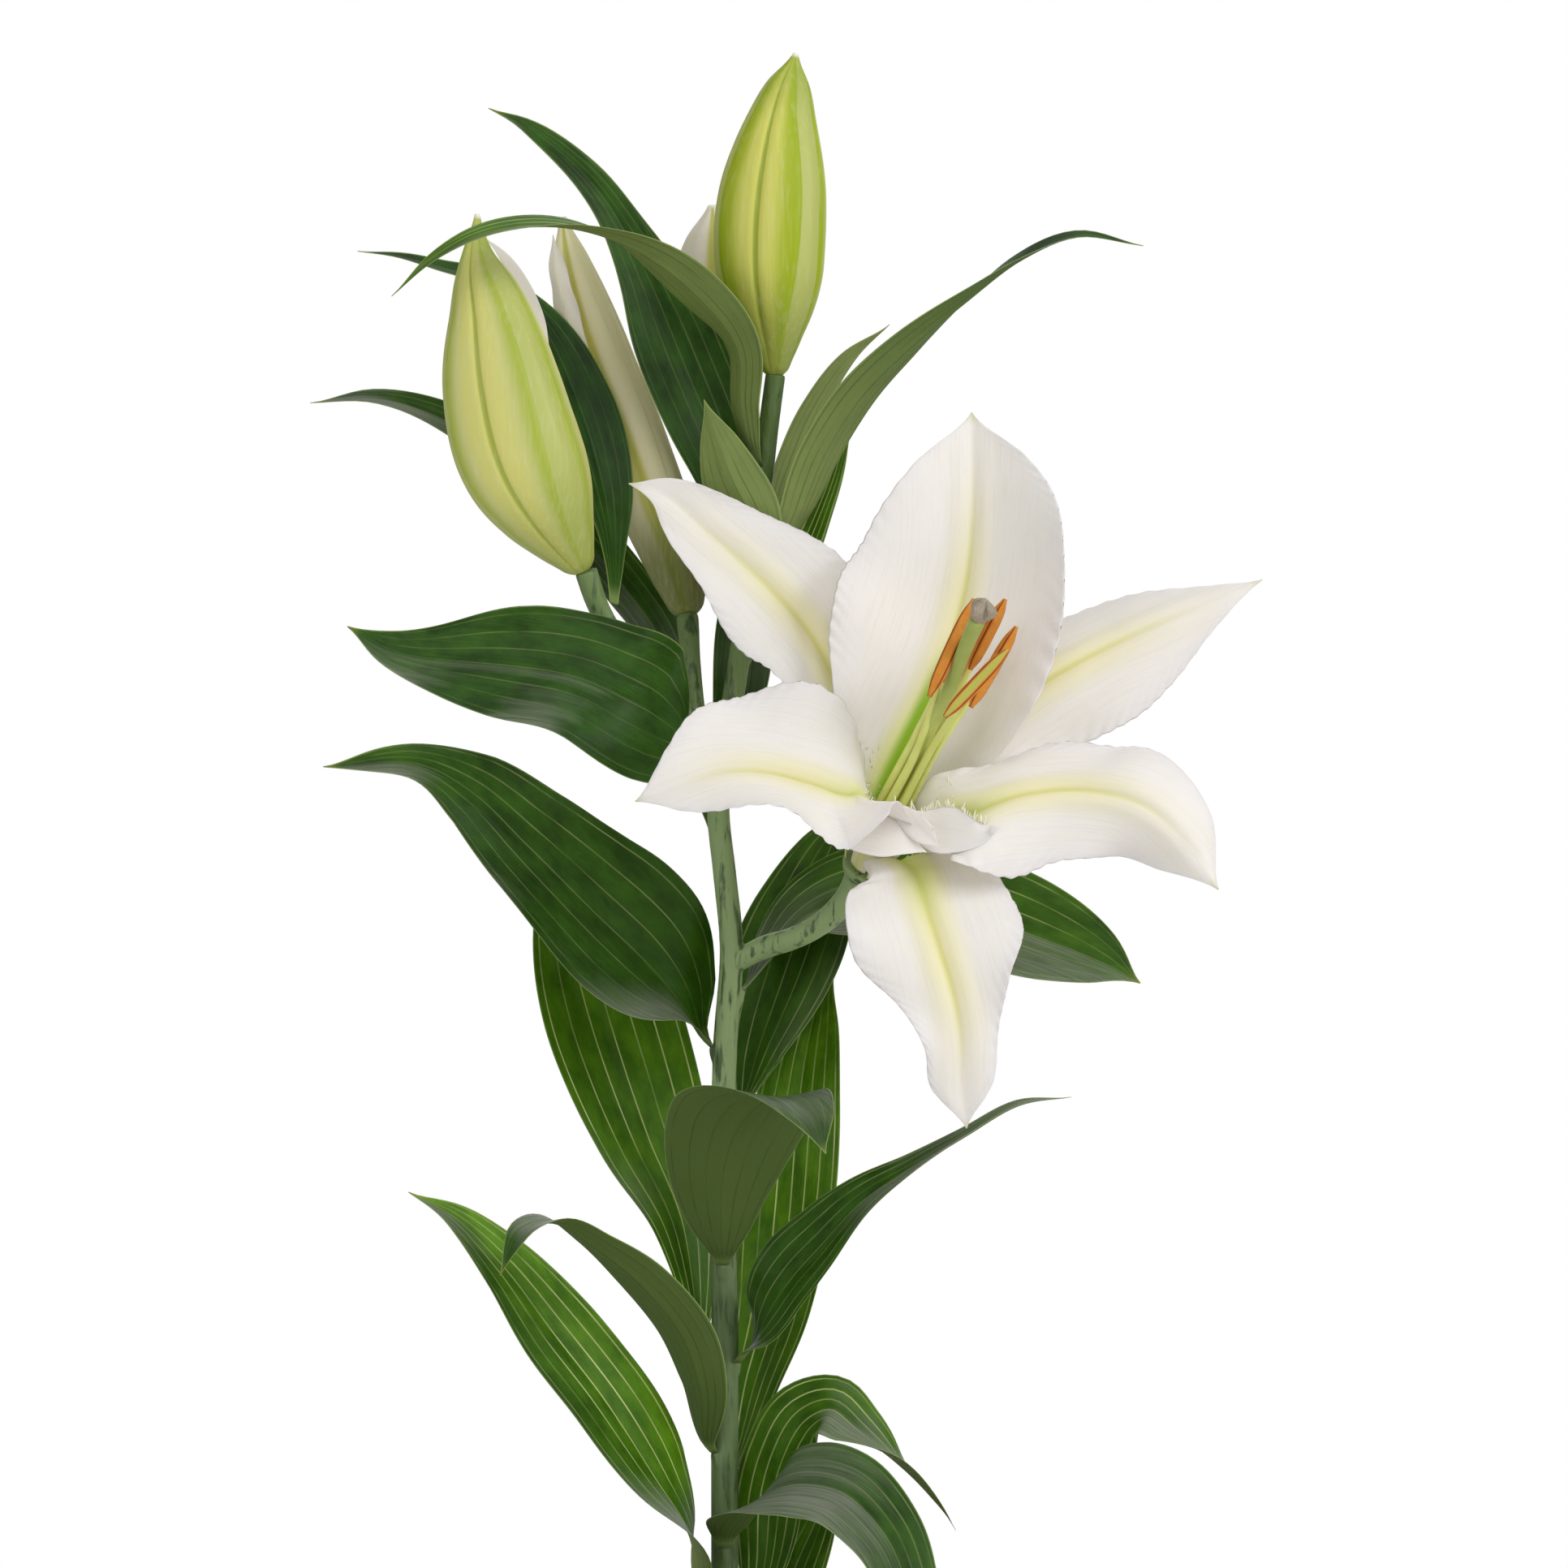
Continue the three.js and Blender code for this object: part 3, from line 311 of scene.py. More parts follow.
def route(points, t):
    """Places and directions at shares t of the length of a curve through points.

    Between two points it is a cubic whose end slopes weigh the steps by the square root of their lengths.
    """
    p = np.asarray(points, float)
    p = np.vstack([2 * p[0] - p[1], p, 2 * p[-1] - p[-2]])

    def at(share):
        x = np.clip(share, 0, 1) * (len(p) - 3)
        i = np.minimum(x.astype(int), len(p) - 4)
        f = (x - i)[:, None]
        a, b, c, d = (p[i + k] for k in range(4))
        e, g, h = (np.sqrt(np.linalg.norm(v - w, axis=1))[:, None] for v, w in ((a, b), (b, c), (c, d)))
        m = g * ((b - a) / e - (c - a) / (e + g)) + c - b
        n = g * ((d - c) / h - (d - b) / (g + h)) + c - b
        return b + f * m + f * f * (3 * (c - b) - 2 * m - n) + f**3 * (2 * (b - c) + m + n)

    even = np.linspace(0, 1, 201)
    run = np.append(0, np.cumsum(np.linalg.norm(np.diff(at(even), axis=0), axis=1)))
    share = np.interp(t, run / run[-1], even)
    return at(share), unit(at(share + 1e-4) - at(share - 1e-4)), run[-1]


def tube(spine, radii, sides=20, rings=40, side=(0, -1, 0), relief=None):
    """A round closed body along a spine. relief gives a factor on the radius from share, angle and radius."""
    t = np.linspace(0, 1, rings + 1)
    at, along, _ = route(spine, t)
    first = square(np.array(side, float), along)
    second = np.cross(first, along)
    angle = np.linspace(0, 2 * np.pi, sides, endpoint=False)
    r = ease(radii, t)[:, None] + 0 * angle
    if relief:
        r = r * relief(t[:, None], angle, r)
    around = first[:, None] * np.cos(angle)[:, None] + second[:, None] * np.sin(angle)[:, None]
    growth = np.stack([angle / np.pi - 1 + 0 * r, t[:, None] + 0 * r, r * 0], -1)
    return skin(at[:, None] + around * r[..., None], growth=growth)


def on_axis(rise):
    """A point on the bloom's axis."""
    return FLOWER_BASE + rise * FLOWER_AXIS


STEM_LINE = [
    (0, 0, 86.3), (0, 0, 150), (0, 0, 215), (0, 0, 295), (0, 0, 367), (2, 0, 398), (0, 0, 420),
    (-2, 0, 441), (0, 1, 458), (4, 2, 482), (8, 3, 511), (11, 3, 535), (13, 1, 553), (15, 0, 568.2),
]
STEM_RADII = [4.3, 4.2, 4.1, 4.1, 4, 3.7, 3.5, 3.3, 3.1, 3]
# Spine and radii of the stalks of the bloom, the left bud, the opening bud and the bud at the back.
STALKS = [
    (
        [
            (1, 0, 393), (11, -3, 398.5), (20, -8, 401.5), (27, -11, 405), (33, -14, 410), on_axis(-7),
            on_axis(0),
        ],
        [3, 3.5, 3.4, 3.5, 4.2, 7.6],
    ),
    (
        [
            (-1, 0, 448), (-5, 1, 458), (-12, -2, 468), (-22, -8, 478), (-31, -12, 489), (-37, -14, 499),
            (-40.6, -16, 509.4),
        ],
        [2.6, 3.1, 3, 3, 3.4],
    ),
    (
        [(-2, 0, 436), (-5, 1, 452), (-8, 3, 465), (-10, 8, 482), (-11.3, 15.4, 497)],
        [2.6, 2.9, 2.8, 2.9, 3.4],
    ),
    (
        [(9, 3, 508), (11, 11, 513), (8, 20, 519), (1, 27, 526), (-3, 28, 531), (-3, 28.4, 537)],
        [2.4, 2.8, 2.7, 2.8, 3],
    ),
]
# Height and side (degrees from +X towards +Y) at which each leaf leaves the stem.
FEET = {
    "leaf_01": (500, 150), "leaf_02": (541, -122), "leaf_04": (430, 105), "leaf_06": (444, 228),
    "leaf_07": (369, 178), "leaf_08": (280, 150), "leaf_09": (305, -95), "leaf_10": (244, 66),
    "leaf_11": (276, -25), "leaf_12": (350, 40), "leaf_13": (386, 15), "leaf_14": (196, 20),
    "leaf_15": (222, -90), "leaf_16": (203, 205), "leaf_17": (250, -135), "leaf_19": (168, 50),
    "leaf_20": (498, -5), "leaf_21": (514, 88), "leaf_22": (496, -78), "leaf_23": (488, 35),
    "leaf_24": (448, 75), "leaf_25": (158, 130), "leaf_26": (178, -60), "leaf_27": (148, 178),
    "leaf_28": (146, 75), "leaf_29": (138, -140),
}
axis_points = route(STEM_LINE, np.linspace(0, 1, 401))[0]


def foot(height, degrees, leaf_thick=0.8):
    """Where a leaf meets the bark, the way outwards there, and its knee, 3 mm out and 3.5 mm up."""
    k = np.abs(axis_points[:, 2] - height).argmin()
    outwards = np.array((np.cos(np.radians(degrees)), np.sin(np.radians(degrees)), 0))
    bark = ease(STEM_RADII, np.array([k / 400]))[0]
    at = axis_points[k] + outwards * (bark + GAP + leaf_thick / 2)
    return at, outwards, at + outwards * 3 + (0, 0, 3.5)


shoot = [tube(STEM_LINE, STEM_RADII, sides=24, rings=90)]
shoot += [tube(spine, radii, sides=20, rings=30, side=(0.3, -1, 0.2)) for spine, radii in STALKS]
for height, degrees in FEET.values():
    at, outwards, knee = foot(height, degrees)
    cushion = [at + (0, 0, rise) - outwards * depth for depth, rise in ((4, -7), (2, -2.5), (0.7, 0.3))]
    shoot.append(tube(cushion, [1.2, 2.3, 1.5], sides=12, rings=8, side=(0.3, 1, 0.1)))

# A waxy green bark: satin, with a grey bloom that has rubbed off in long darker flecks. It is palest about
# half way up, darker low down in painted shade of the leaves, and a fresh green among the buds.
bark = material(
    "waxy_green_bark",
    {
        "Specular IOR Level": 0.4, "Subsurface Weight": 0.08, "Subsurface Scale": 0.002,
        "Subsurface Radius": (0.6, 1.0, 0.3),
    },
)
spot = add(bark, "TexCoord", {}, "Object")
long = add(bark, "Mapping", {"Vector": spot, "Scale": (1, 1, 0.16)})
fleck = add(bark, "TexNoise", {"Vector": long, "Scale": 330, "Detail": 4, "Roughness": 0.55})
streak = add(bark, "TexNoise", {"Vector": long, "Scale": 900, "Detail": 3})
height = add(bark, "SeparateXYZ", {0: spot}, 2)
bare = add(bark, "MapRange", {0: fleck, 1: 0.52, 2: 0.62}, **SMOOTH)
fine = add(bark, "MapRange", {0: streak, 1: 0.3, 2: 0.7, 4: 0.3})
wax = tinted(
    bark, "#9cb37a",
    ("#5f7645", (height, 0.36, 0.29, 1)),  # painted shade of the leaves on the lower stem
    ("#5b7432", (height, 0.36, 0.56, 1)),  # young bark
    ("#3e5628", bare),
    ("#8b9d78", fine),
)
dress(bark, wax, (bare, 0.55, 0.36), streak, 0.35, 0.0004)

stem = piece("green_shoot", shoot, bark, "stem", "stem")
melt = stem.modifiers.new("melt", "REMESH")
melt.mode, melt.voxel_size, melt.use_smooth_shade = "VOXEL", 0.55 * MM, True
soft = stem.modifiers.new("soft", "SMOOTH")
soft.factor, soft.iterations = 0.5, 5
melted = bpy.data.meshes.new_from_object(stem.evaluated_get(bpy.context.evaluated_depsgraph_get()))
stem.modifiers.clear()
stem.data = melted

# The buds: six tepals folded round each other. The three outer ones have a sunken green midrib, and between
# them the keels of the inner three bulge out as broad yellow-green bands with a lip on either side.
BUDS = [
    # name, turn of a keel from the viewer to the right, ripeness, spine, radii
    (
        "bud_top", 41, 0.0,
        [(15, 0, 567.2), (14, 0, 590), (14, 0, 608), (15.5, 0, 628), (17.5, 0, 645), (21, -1, 663)],
        [3.4, 7.8, 12.6, 15.6, 16.5, 16.4, 15.4, 13.2, 10.2, 6.6, 0.8],
    ),
    (
        "bud_left", 36, 0.4,
        [
            (-41, -16, 508.9), (-51.5, -17, 528), (-59.5, -18, 546), (-64, -19, 563), (-68, -19, 584),
            (-72, -18, 601), (-72.4, -18, 614),
        ],
        [4, 9.2, 14.3, 17.6, 18.8, 18.5, 17.4, 15.5, 12.6, 9, 4.2, 0.8],
    ),
    (
        "bud_opening", 50, 0.88,
        [
            (-11, 15.6, 496.6), (-14, 18, 511), (-21, 22, 530), (-30, 27, 555), (-39, 29, 578),
            (-45.5, 29, 600), (-49, 29, 617),
        ],
        [4.6, 8.4, 10, 10.6, 10.6, 10.6, 10.4, 10, 8.4, 5.5, 1.2],
    ),
    (
        "bud_back", 60, 1.0,
        [(-3, 28.4, 536.4), (-3, 31, 561), (-3, 33, 585), (-4, 34, 621)],
        [3.4, 6.5, 9, 11, 12.4, 13, 13, 11.6, 8, 1.4],
    ),
]


def lip_place(t):
    """How far from a keel its lip lies, as a share of the way to the groove: a broader keel at both ends."""
    return 0.20 + 0.16 * np.cos(np.pi * t) ** 2


def folded(t, angle, r):
    """The bud's section: three low ridges, a groove midway between them, and a step down beside each keel."""
    phase = np.abs((angle / (np.pi / 3) + 1) % 2 - 1)  # 0 on a keel and 1 in a groove
    across = phase * np.pi / 3 * r
    middle = (1 - phase) * np.pi / 3 * r
    shut = np.sin(np.pi * t) ** 0.6
    lip = lip_place(t)
    step = np.clip((phase - lip) / 0.035, 0, 1)
    rise = -0.7 * np.exp(-((middle / 1.2) ** 2)) + 0.35 * np.exp(-((across / 2.4) ** 2)) + 0.45 * (step - 1)
    round_foot = np.sqrt(1 - (1 - np.clip(t / 0.03, 0.06, 1)) ** 2)
    return round_foot * (1 + 0.07 * np.sin(np.pi * t) * np.cos(3 * angle) + shut * rise / np.maximum(r, 3))


# Bud skin: smooth and satin, yellow green beside the lips of the keels and cream green towards the midribs,
# which are a thin darker line. A bud that is about to open turns cream, then a pinkish white.
# The mark "growth" gives the place round the bud (0 on a keel, 0.28 at its lip, 1 on a midrib), the place
# along it, and how ripe it is.
sheath = material(
    "bud_tepal_skin",
    {
        "Specular IOR Level": 0.35, "Subsurface Weight": 0.25, "Subsurface Scale": 0.004,
        "Subsurface Radius": (1.0, 0.9, 0.3),
    },
)
mark = add(sheath, "Attribute", {}, "Vector", attribute_name="growth")
around, along, ripe = add(sheath, "SeparateXYZ", {0: mark}).node.outputs
spot = add(sheath, "TexCoord", {}, "Object")
drawn = add(sheath, "Mapping", {"Vector": spot, "Scale": (1, 1, 0.08)})
fibre = add(sheath, "TexNoise", {"Vector": drawn, "Scale": 800, "Detail": 3})
drawn = add(sheath, "Mapping", {"Vector": spot, "Scale": (1, 1, 0.25)})
cloud = add(sheath, "TexNoise", {"Vector": drawn, "Scale": 60, "Detail": 2})
unripe = add(sheath, "MapRange", {0: ripe, 1: 0.3, 2: 0.85, 3: 1.0, 4: 0.12})
opening = add(sheath, "MapRange", {0: ripe, 1: 0.5, 2: 0.7})
blushed = add(sheath, "MapRange", {0: ripe, 1: 0.85, 2: 1.0})
streak = add(sheath, "MapRange", {0: fibre, 1: 0.5, 2: 0.75, 4: 0.16})
down = add(sheath, "MapRange", {0: along, 1: 0.985, 2: 0.995})
skin_tone = tinted(
    sheath, tinted(sheath, "#b9c632", ("#9fae28", cloud)),
    (tinted(sheath, "#fff4d4", ("#f8eeb6", cloud)), ripe),
    ("#f3e9e1", blushed),
    ("#e2de76", (around, 0.5, 0.76, 0.7), unripe),  # the panel towards the midrib
    ("#9db004", (around, 0.6, 0.34, 0.9), unripe),  # the band beside the lip
    ("#c9cb86", (around, 0.285, 0.24, 0.6), unripe),  # the keel
    ("#9caa2a", (around, 0.93, 0.975, 0.85), unripe),  # the midrib
    ("#c6c448", (around, 0.7, 0.9, 0.85), opening),  # the midrib of an opening bud, broader
    ("#8c9a3e", (along, 0.36, 0.0, 0.6)),  # the foot
    ("#6c7530", (along, 0.34, 0.1, 0.8), opening),
    ("#8fa52c", (along, 0.75, 0.97, 0.55), unripe),  # the green tip
    ("#e6e4bc", streak),
    ("#f0f0e2", down),  # a tuft of white down on the very tip
)
dress(sheath, skin_tone, (fibre, 0.4, 0.55), fibre, 0.4, 0.0004)

LIP = 0.28  # value of the mark at the lip of a keel
closed = {}
for name, turn, ripeness, spine, radii in BUDS:
    side = (np.sin(np.radians(turn)), -np.cos(np.radians(turn)), 0)
    body = tube(spine, radii, sides=180, rings=120, side=side, relief=folded)
    marks = body["marks"]["growth"]
    phase, lip = np.abs(marks[:, 0] * 3 % 2 - 1), lip_place(marks[:, 1])
    marks[:, 0] = np.where(phase < lip, LIP * phase / lip, LIP + (1 - LIP) * (phase - lip) / (1 - lip))
    marks[:, 2] = ripeness
    closed[name] = [body]


WAVES = 3  # in a blade's margin, from foot to tip


def blade(spine, half, upper, channel=(10, 10), lean=(0, 0), ripple=0, phase=0, relief=None, **mesh):
    """A leaf or petal as a thin closed body, its middle surface, and the way its upper side faces there.

    Across a row s runs from -1 to 1. The row is lifted by its half width times the sine of the channel's
    angle times |s| to the power 1.5, by a wave that grows with |s| cubed, and by relief. The body thins
    to its margins.
    """
    t = np.linspace(0, 1, mesh.get("rows", 60) + 1)[:, None]
    s = np.sin(1.2 * np.linspace(-1, 1, mesh.get("columns", 40) + 1)) / np.sin(1.2)
    at, along, length = route(spine, t[:, 0])
    up = square(ease(upper, t[:, 0]), along)
    across = np.cross(along, up)
    w = np.maximum(ease([*half[:-1], 0.15], t), 0.1)
    fold = np.radians(ease(channel, t))
    swell = np.sin(np.pi * t) * np.sin(2 * np.pi * WAVES * t + phase + 2 * s)
    lift = w * np.sin(fold) * np.abs(s) ** 1.5 + ripple * np.abs(s) ** 3 * swell
    if relief:
        lift = lift + relief(s, t, w)
    out = s * w * np.cos(fold) + ease(lean, t)
    middle = at[:, None] + across[:, None] * out[..., None] + up[:, None] * lift[..., None]
    normal = unit(np.cross(np.gradient(middle, axis=1), np.gradient(middle, axis=0)))
    body = (mesh.get("thick", 0.5) / 2 * np.sqrt(1 - s**4) * np.clip(w / 4, 0.2, 1))[..., None]
    both = lambda upper_side, lower_side: np.concatenate([upper_side, lower_side[:, -2:0:-1]], 1)
    side = (np.abs(s) < 1) + 0 * w
    # painted backlight: how much light shining through the blade is laid on its colour
    left, right = mesh.get("glow", (0, 0))
    light = (left + (right - left) * (s + 1) / 2) * np.clip(1 - mesh.get("dim", 0) * t, 0, 1)
    growth = [np.stack([s + 0 * w, t + 0 * s, v], -1) for v in (side, -side)]
    span = np.stack([w + 0 * s, t * length + 0 * s, light + 0 * w], -1)
    # how far the blade faces upwards, which sets a painted reflection of the overhead light
    bloom = np.clip((normal - 0.45) / 0.35, 0, 1) * mesh.get("bloom", 1)
    marks = {"growth": both(*growth), "span": both(span, span), "bloom": both(bloom, bloom * 0)}
    closed_body = skin(both(middle + normal * body, middle - normal * body), **marks)
    return closed_body, middle, normal


# Two of the buds show more: a tepal's white margin on the left bud, and a loosened tepal on the opening one.
loose_petal, _, _ = blade(
    [(-41, 17, 566), (-43.5, 16, 577), (-47.5, 16, 588), (-50.5, 17, 600), (-51.5, 20, 611)],
    [0.8, 2.4, 3.4, 3.8, 3, 0.4],
    [(-0.35, -0.93, 0), (-0.35, -0.93, 0)],
    channel=(-30, -30),
    ripple=0.8,
    thick=0.9,
)
margin, _, _ = blade(
    [(-51.8, -10, 574), (-54.6, -10, 584), (-60.5, -11, 595.5), (-66, -14, 603), (-70, -17, 607)],
    [0.6, 1.8, 2.4, 2, 0.4],
    [(0.6, -0.8, 0.2), (0.6, -0.8, 0.2)],
    thick=0.9,
)
for name, body, edge in (("bud_opening", loose_petal, 0.5), ("bud_left", margin, 0.0)):
    growth = body["marks"]["growth"]
    growth[:, 0] = 0.6 + edge * (np.abs(growth[:, 0]) - 1)
    growth[:, 1] = 0.5
    growth[:, 2] = 1
    del body["marks"]["span"], body["marks"]["bloom"]
    closed[name].append(body)
for name, bodies in closed.items():
    piece(f"{name}_skin", bodies, sheath, "bud", name)

# The leaves: long parallel-veined blades without stalks, glossy above and dull below, one to each cushion.
# "glow" is how much light shining through a leaf is painted into its colour, on its left and right half as
# seen from its foot, and "dim" how fast that fades towards its tip; "bloom" scales a painted reflection.
LEAVES = [
    dict(name="leaf_01", glow=(0.05, 0.1), channel=[8, 8],
        line=[[0, 9, 538], [-13, 9, 574], [-27, 7, 606], [-40, 6, 626], [-59, 3, 642], [-70, 2, 647]],
        half=[2, 5, 10, 13, 13.6, 13, 9.5, 6.4, 5, 3.4, 0.5],
        upper=[[0.3, -1, 0], [0.2, -1, 0.2], [0, -0.8, 0.5]]),
    dict(name="leaf_02", glow=(0.45, 0.45), bloom=0.1, channel=[12, 12],
        line=[[5, -10, 558], [4, -16, 575], [-9, -24, 591], [-28, -32, 604], [-47, -38, 609],
            [-68, -42, 607], [-84, -44, 599], [-96, -44, 588]],
        half=[2, 6.5, 9.5, 9.5, 8.5, 7.5, 5.5, 3, 0.5],
        upper=[[0.8, 0.5, 0.3], [0.3, 0.6, 0.8], [0.1, -0.1, 1], [0, -0.5, 0.9], [0, -0.5, 0.9]]),
    dict(name="leaf_04", glow=(0.08, 0.12), channel=[10, 10],
        line=[[-9, 13, 452], [-14, 19, 476], [-21, 29, 493], [-31, 34, 507], [-47, 35, 526], [-66, 32, 545],
            [-86, 24, 557], [-105, 14, 562], [-123, 6, 560]],
        half=[2, 4, 6.5, 9, 9.5, 9, 8, 6.5, 4, 0.5],
        upper=[[0.5, -0.8, 0.3], [0.4, -0.8, 0.4], [0, -0.6, 0.8]]),
    dict(name="leaf_06", glow=(0.05, 0.12), channel=[8, 8], ripple=1.5,
        line=[[-13, -14, 460], [-21, -25, 465], [-30, -31, 469], [-42, -31, 474], [-62, -29, 479],
            [-96, -27, 486], [-110, -25, 493]],
        half=[2, 8, 17, 21.5, 21, 20, 18.5, 15, 10.5, 5.5, 0.5],
        upper=[[0.6, -0.8, 0], [0.5, -0.9, 0.2], [0, -0.95, 0.35], [0, -0.9, 0.4]],
        lean=[0, 1, 3, 4, 2, 0, 0]),
    dict(name="leaf_07", glow=(0.1, 0.2), channel=[16, 16], ripple=1.5,
        line=[[-13, -1, 384], [-24, -6, 399], [-41, -12, 415], [-57, -18, 430], [-74, -22, 445],
            [-90, -24, 453], [-117, -26, 452]],
        half=[3, 18, 24, 25, 23, 20, 16, 12, 7, 3.8, 0.5],
        upper=[[0.4, -0.8, 0.4], [0.35, -0.85, 0.3], [0.2, -0.95, 0.25], [0.1, -0.93, 0.3], [0, -0.9, 0.4]],
        lean=[0, -2, -3, -2, -1, 0, 0, 0]),
    dict(name="leaf_08", glow=(0.65, 0.75), channel=[10, 10],
        line=[[-13, 12, 318], [-23, 18, 342], [-33, 24, 371], [-42, 28, 402], [-48, 30, 427], [-54, 30, 442]],
        half=[2, 10, 16, 19.5, 21.5, 21.5, 18, 10, 0.5],
        upper=[[0.5, -0.8, 0.2], [0.3, -1, 0.1], [0.2, -1, 0.2]]),
    dict(name="leaf_09", glow=(0.15, 0.15), bloom=0.5, channel=[8, 8],
        line=[[-1, -17, 328], [3, -27, 345], [11, -38, 355], [19, -48, 356], [25, -56, 351],
            [29.5, -62, 341]],
        half=[2, 10, 16, 20, 22, 17, 9, 0.6],
        upper=[[0, 0.8, 0.6], [0.1, 0, 1], [0.3, -0.8, 0.5]]),
    dict(name="leaf_10", glow=(0.7, 0.9), channel=[10, 10],
        line=[[8.5, 11, 268], [15, 16, 289], [19, 21, 318], [21, 24, 342], [24, 28, 366], [28, 30, 383],
            [33, 30, 396]],
        half=[2, 9, 13, 15, 15, 13, 9, 0.5],
        upper=[[-0.5, -0.8, 0.2], [-0.2, -1, 0], [-0.2, -1, 0.2]]),
    dict(name="leaf_11", glow=(0.15, 0.2), channel=[14, 14],
        line=[[16, -14, 294], [27, -20, 309], [40, -26, 325], [54, -30, 335], [70, -33, 345],
            [86, -34, 354], [101, -34, 356]],
        half=[3, 10, 14, 12.5, 8.5, 5.5, 4, 3, 0.5],
        upper=[[-0.5, -0.75, 0.4], [-0.5, -0.7, 0.5], [-0.5, -0.65, 0.55], [-0.5, -0.6, 0.6],
            [-0.45, -0.45, 0.75], [-0.4, -0.3, 0.85], [-0.3, -0.25, 0.9], [-0.2, -0.2, 0.95]],
        lean=[0, -1.5, -2.5, -1, 0, 0, 0, 0, 0]),
    dict(name="leaf_12", glow=(0.3, 0.35), channel=[8, 8],
        line=[[10, 11, 369], [17, 17, 389], [24, 23, 409], [31, 27, 427], [40, 28, 442]],
        half=[2, 12, 17, 18, 15, 9, 0.5],
        upper=[[-0.5, -0.8, 0.3], [-0.3, -1, 0.1], [-0.2, -1, 0.2]]),
    dict(name="leaf_13", glow=(0.3, 0.3), channel=[10, 10],
        line=[[13, 6, 396], [18, 10, 402], [25, 12, 408], [34, 12, 412], [46, 10, 414], [62, 7, 413],
            [81, 5, 408], [100, 4, 401], [114, 3, 394], [123, 2, 388]],
        half=[2, 8, 14, 17, 18, 19, 19.5, 19, 16, 10, 0.5],
        upper=[[-0.3, -0.7, 0.6], [0, -0.8, 0.6], [0.2, -0.8, 0.5]],
        lean=[0, 0, 0, 0, 1, 2, 2.5, 2.5, 1.5, 0]),
    dict(name="leaf_14", glow=(0.5, 0.3), channel=[8, 8],
        line=[[10, 4, 215], [12, 2, 234], [17.5, -5, 250], [24.5, -11, 261], [32, -17, 265],
            [40.5, -21, 260], [49, -26, 251], [58, -30, 242.5], [64.5, -33, 235], [67.5, -34, 230]],
        half=[2, 7, 10, 12, 12.5, 12.5, 11, 9, 8, 5, 0.5],
        upper=[[-0.5, -0.8, 0.3], [-0.3, -0.85, 0.4], [-0.2, -0.85, 0.5], [0.05, -0.7, 0.7],
            [0.75, 0.1, 0.65], [0.8, 0.1, 0.6]],
        lean=[0, 1.5, 2, 1.5, 0.5, 0, 1.5, 3, 1.5, 0, 0]),
    dict(name="leaf_15", glow=(0.15, 0.1), channel=[8, 8],
        line=[[1, -13, 229], [5, -21, 234], [12, -30, 239.5], [22, -38, 242.5], [34, -46, 240.5],
            [45, -53, 231], [52, -58, 219], [57, -61, 206], [61, -63, 193]],
        half=[2.5, 7, 10, 14, 15, 14, 12.5, 11, 9.5, 7, 0.5],
        upper=[[0, -0.15, 1], [-0.1, -0.5, 0.85], [0, -0.75, 0.65], [0, -0.8, 0.6], [0.2, -0.8, 0.5],
            [0.4, -0.75, 0.5], [0.5, -0.75, 0.45]],
        lean=[0, 0, -1, -2, -2, -2, -1.5, -1, 0, 0, 0]),
    dict(name="leaf_16", glow=(0.2, 1.0), channel=[12, 12],
        line=[[-10, -9, 226], [-20, -14, 243], [-35, -20, 267], [-50, -24, 287], [-64, -27, 306],
            [-79, -28, 321], [-92, -28, 328]],
        half=[2, 11, 15, 16, 15, 14, 10.5, 6, 0.5],
        upper=[[0.5, -0.6, 0.5], [0.4, -0.8, 0.4], [0.2, -0.7, 0.7]]),
    dict(name="leaf_17", glow=(0.15, 0.15), channel=[12, 12],
        line=[[-7, -18, 270], [-12, -26, 286], [-24, -36, 302], [-38, -44, 314], [-49, -52, 321],
            [-57, -58, 319], [-61, -60, 313], [-64, -60, 306]],
        half=[2, 6, 9, 10.5, 10.5, 10, 9, 8, 5, 0.5],
        upper=[[0.5, 0.7, 0.3], [0.5, 0.7, 0.4], [0.2, 0.2, 0.9], [-0.6, -0.8, 0.2]]),
    dict(name="leaf_19", glow=(0.5, 0.5), channel=[8, 8],
        line=[[12, 9, 193], [21, 10, 215], [28, 9, 232], [29, 7, 246]],
        half=[2, 8, 12, 11, 7, 0.5],
        upper=[[-0.5, -0.8, 0.3], [-0.4, -0.9, 0.2], [-0.3, -1, 0.1]]),
    dict(name="leaf_20", glow=(0.88, 0.88), dim=1.25, bloom=0.1, channel=[12, 12],
        line=[[17, 2, 516], [22, -1, 527], [29, -7, 544], [40, -12, 561], [54, -16, 575], [71, -18, 589],
            [87, -18, 601], [104, -16, 608], [123, -14, 605]],
        half=[2, 6, 8, 8.5, 8.5, 8, 7, 5, 2.5, 0.5],
        upper=[[-0.5, 0.6, 0.5], [-0.4, 0.5, 0.7], [-0.2, -0.1, 0.9], [0, -0.7, 0.7]]),
    dict(name="leaf_21", glow=(0.8, 0.8), bloom=0.3, channel=[10, 10],
        line=[[14, 16, 527], [20, 20, 542], [27, 21, 559], [37, 19, 574], [49, 16, 584]],
        half=[2, 5, 6, 5.5, 4, 0.5],
        upper=[[-0.5, 0.7, 0.4], [-0.5, 0.6, 0.6], [-0.3, 0.4, 0.8]]),
    dict(name="leaf_22", glow=(0.6, 0.6), channel=[8, 8],
        line=[[8.5, -6, 512], [7.5, -7, 525], [2, -8, 537], [-2, -10, 548], [-6, -12, 560]],
        half=[2, 5, 9, 9.5, 6, 0.5],
        upper=[[0, 0.9, 0.2], [0, 0.9, 0.2], [0.2, 0.9, 0.4]]),
    dict(name="leaf_23", glow=(0.6, 0.6), channel=[8, 8],
        line=[[19, 8, 510], [25, 9, 523], [30, 9, 535], [34, 9, 546], [38, 9, 556]],
        half=[2, 4, 7, 6, 4, 0.5],
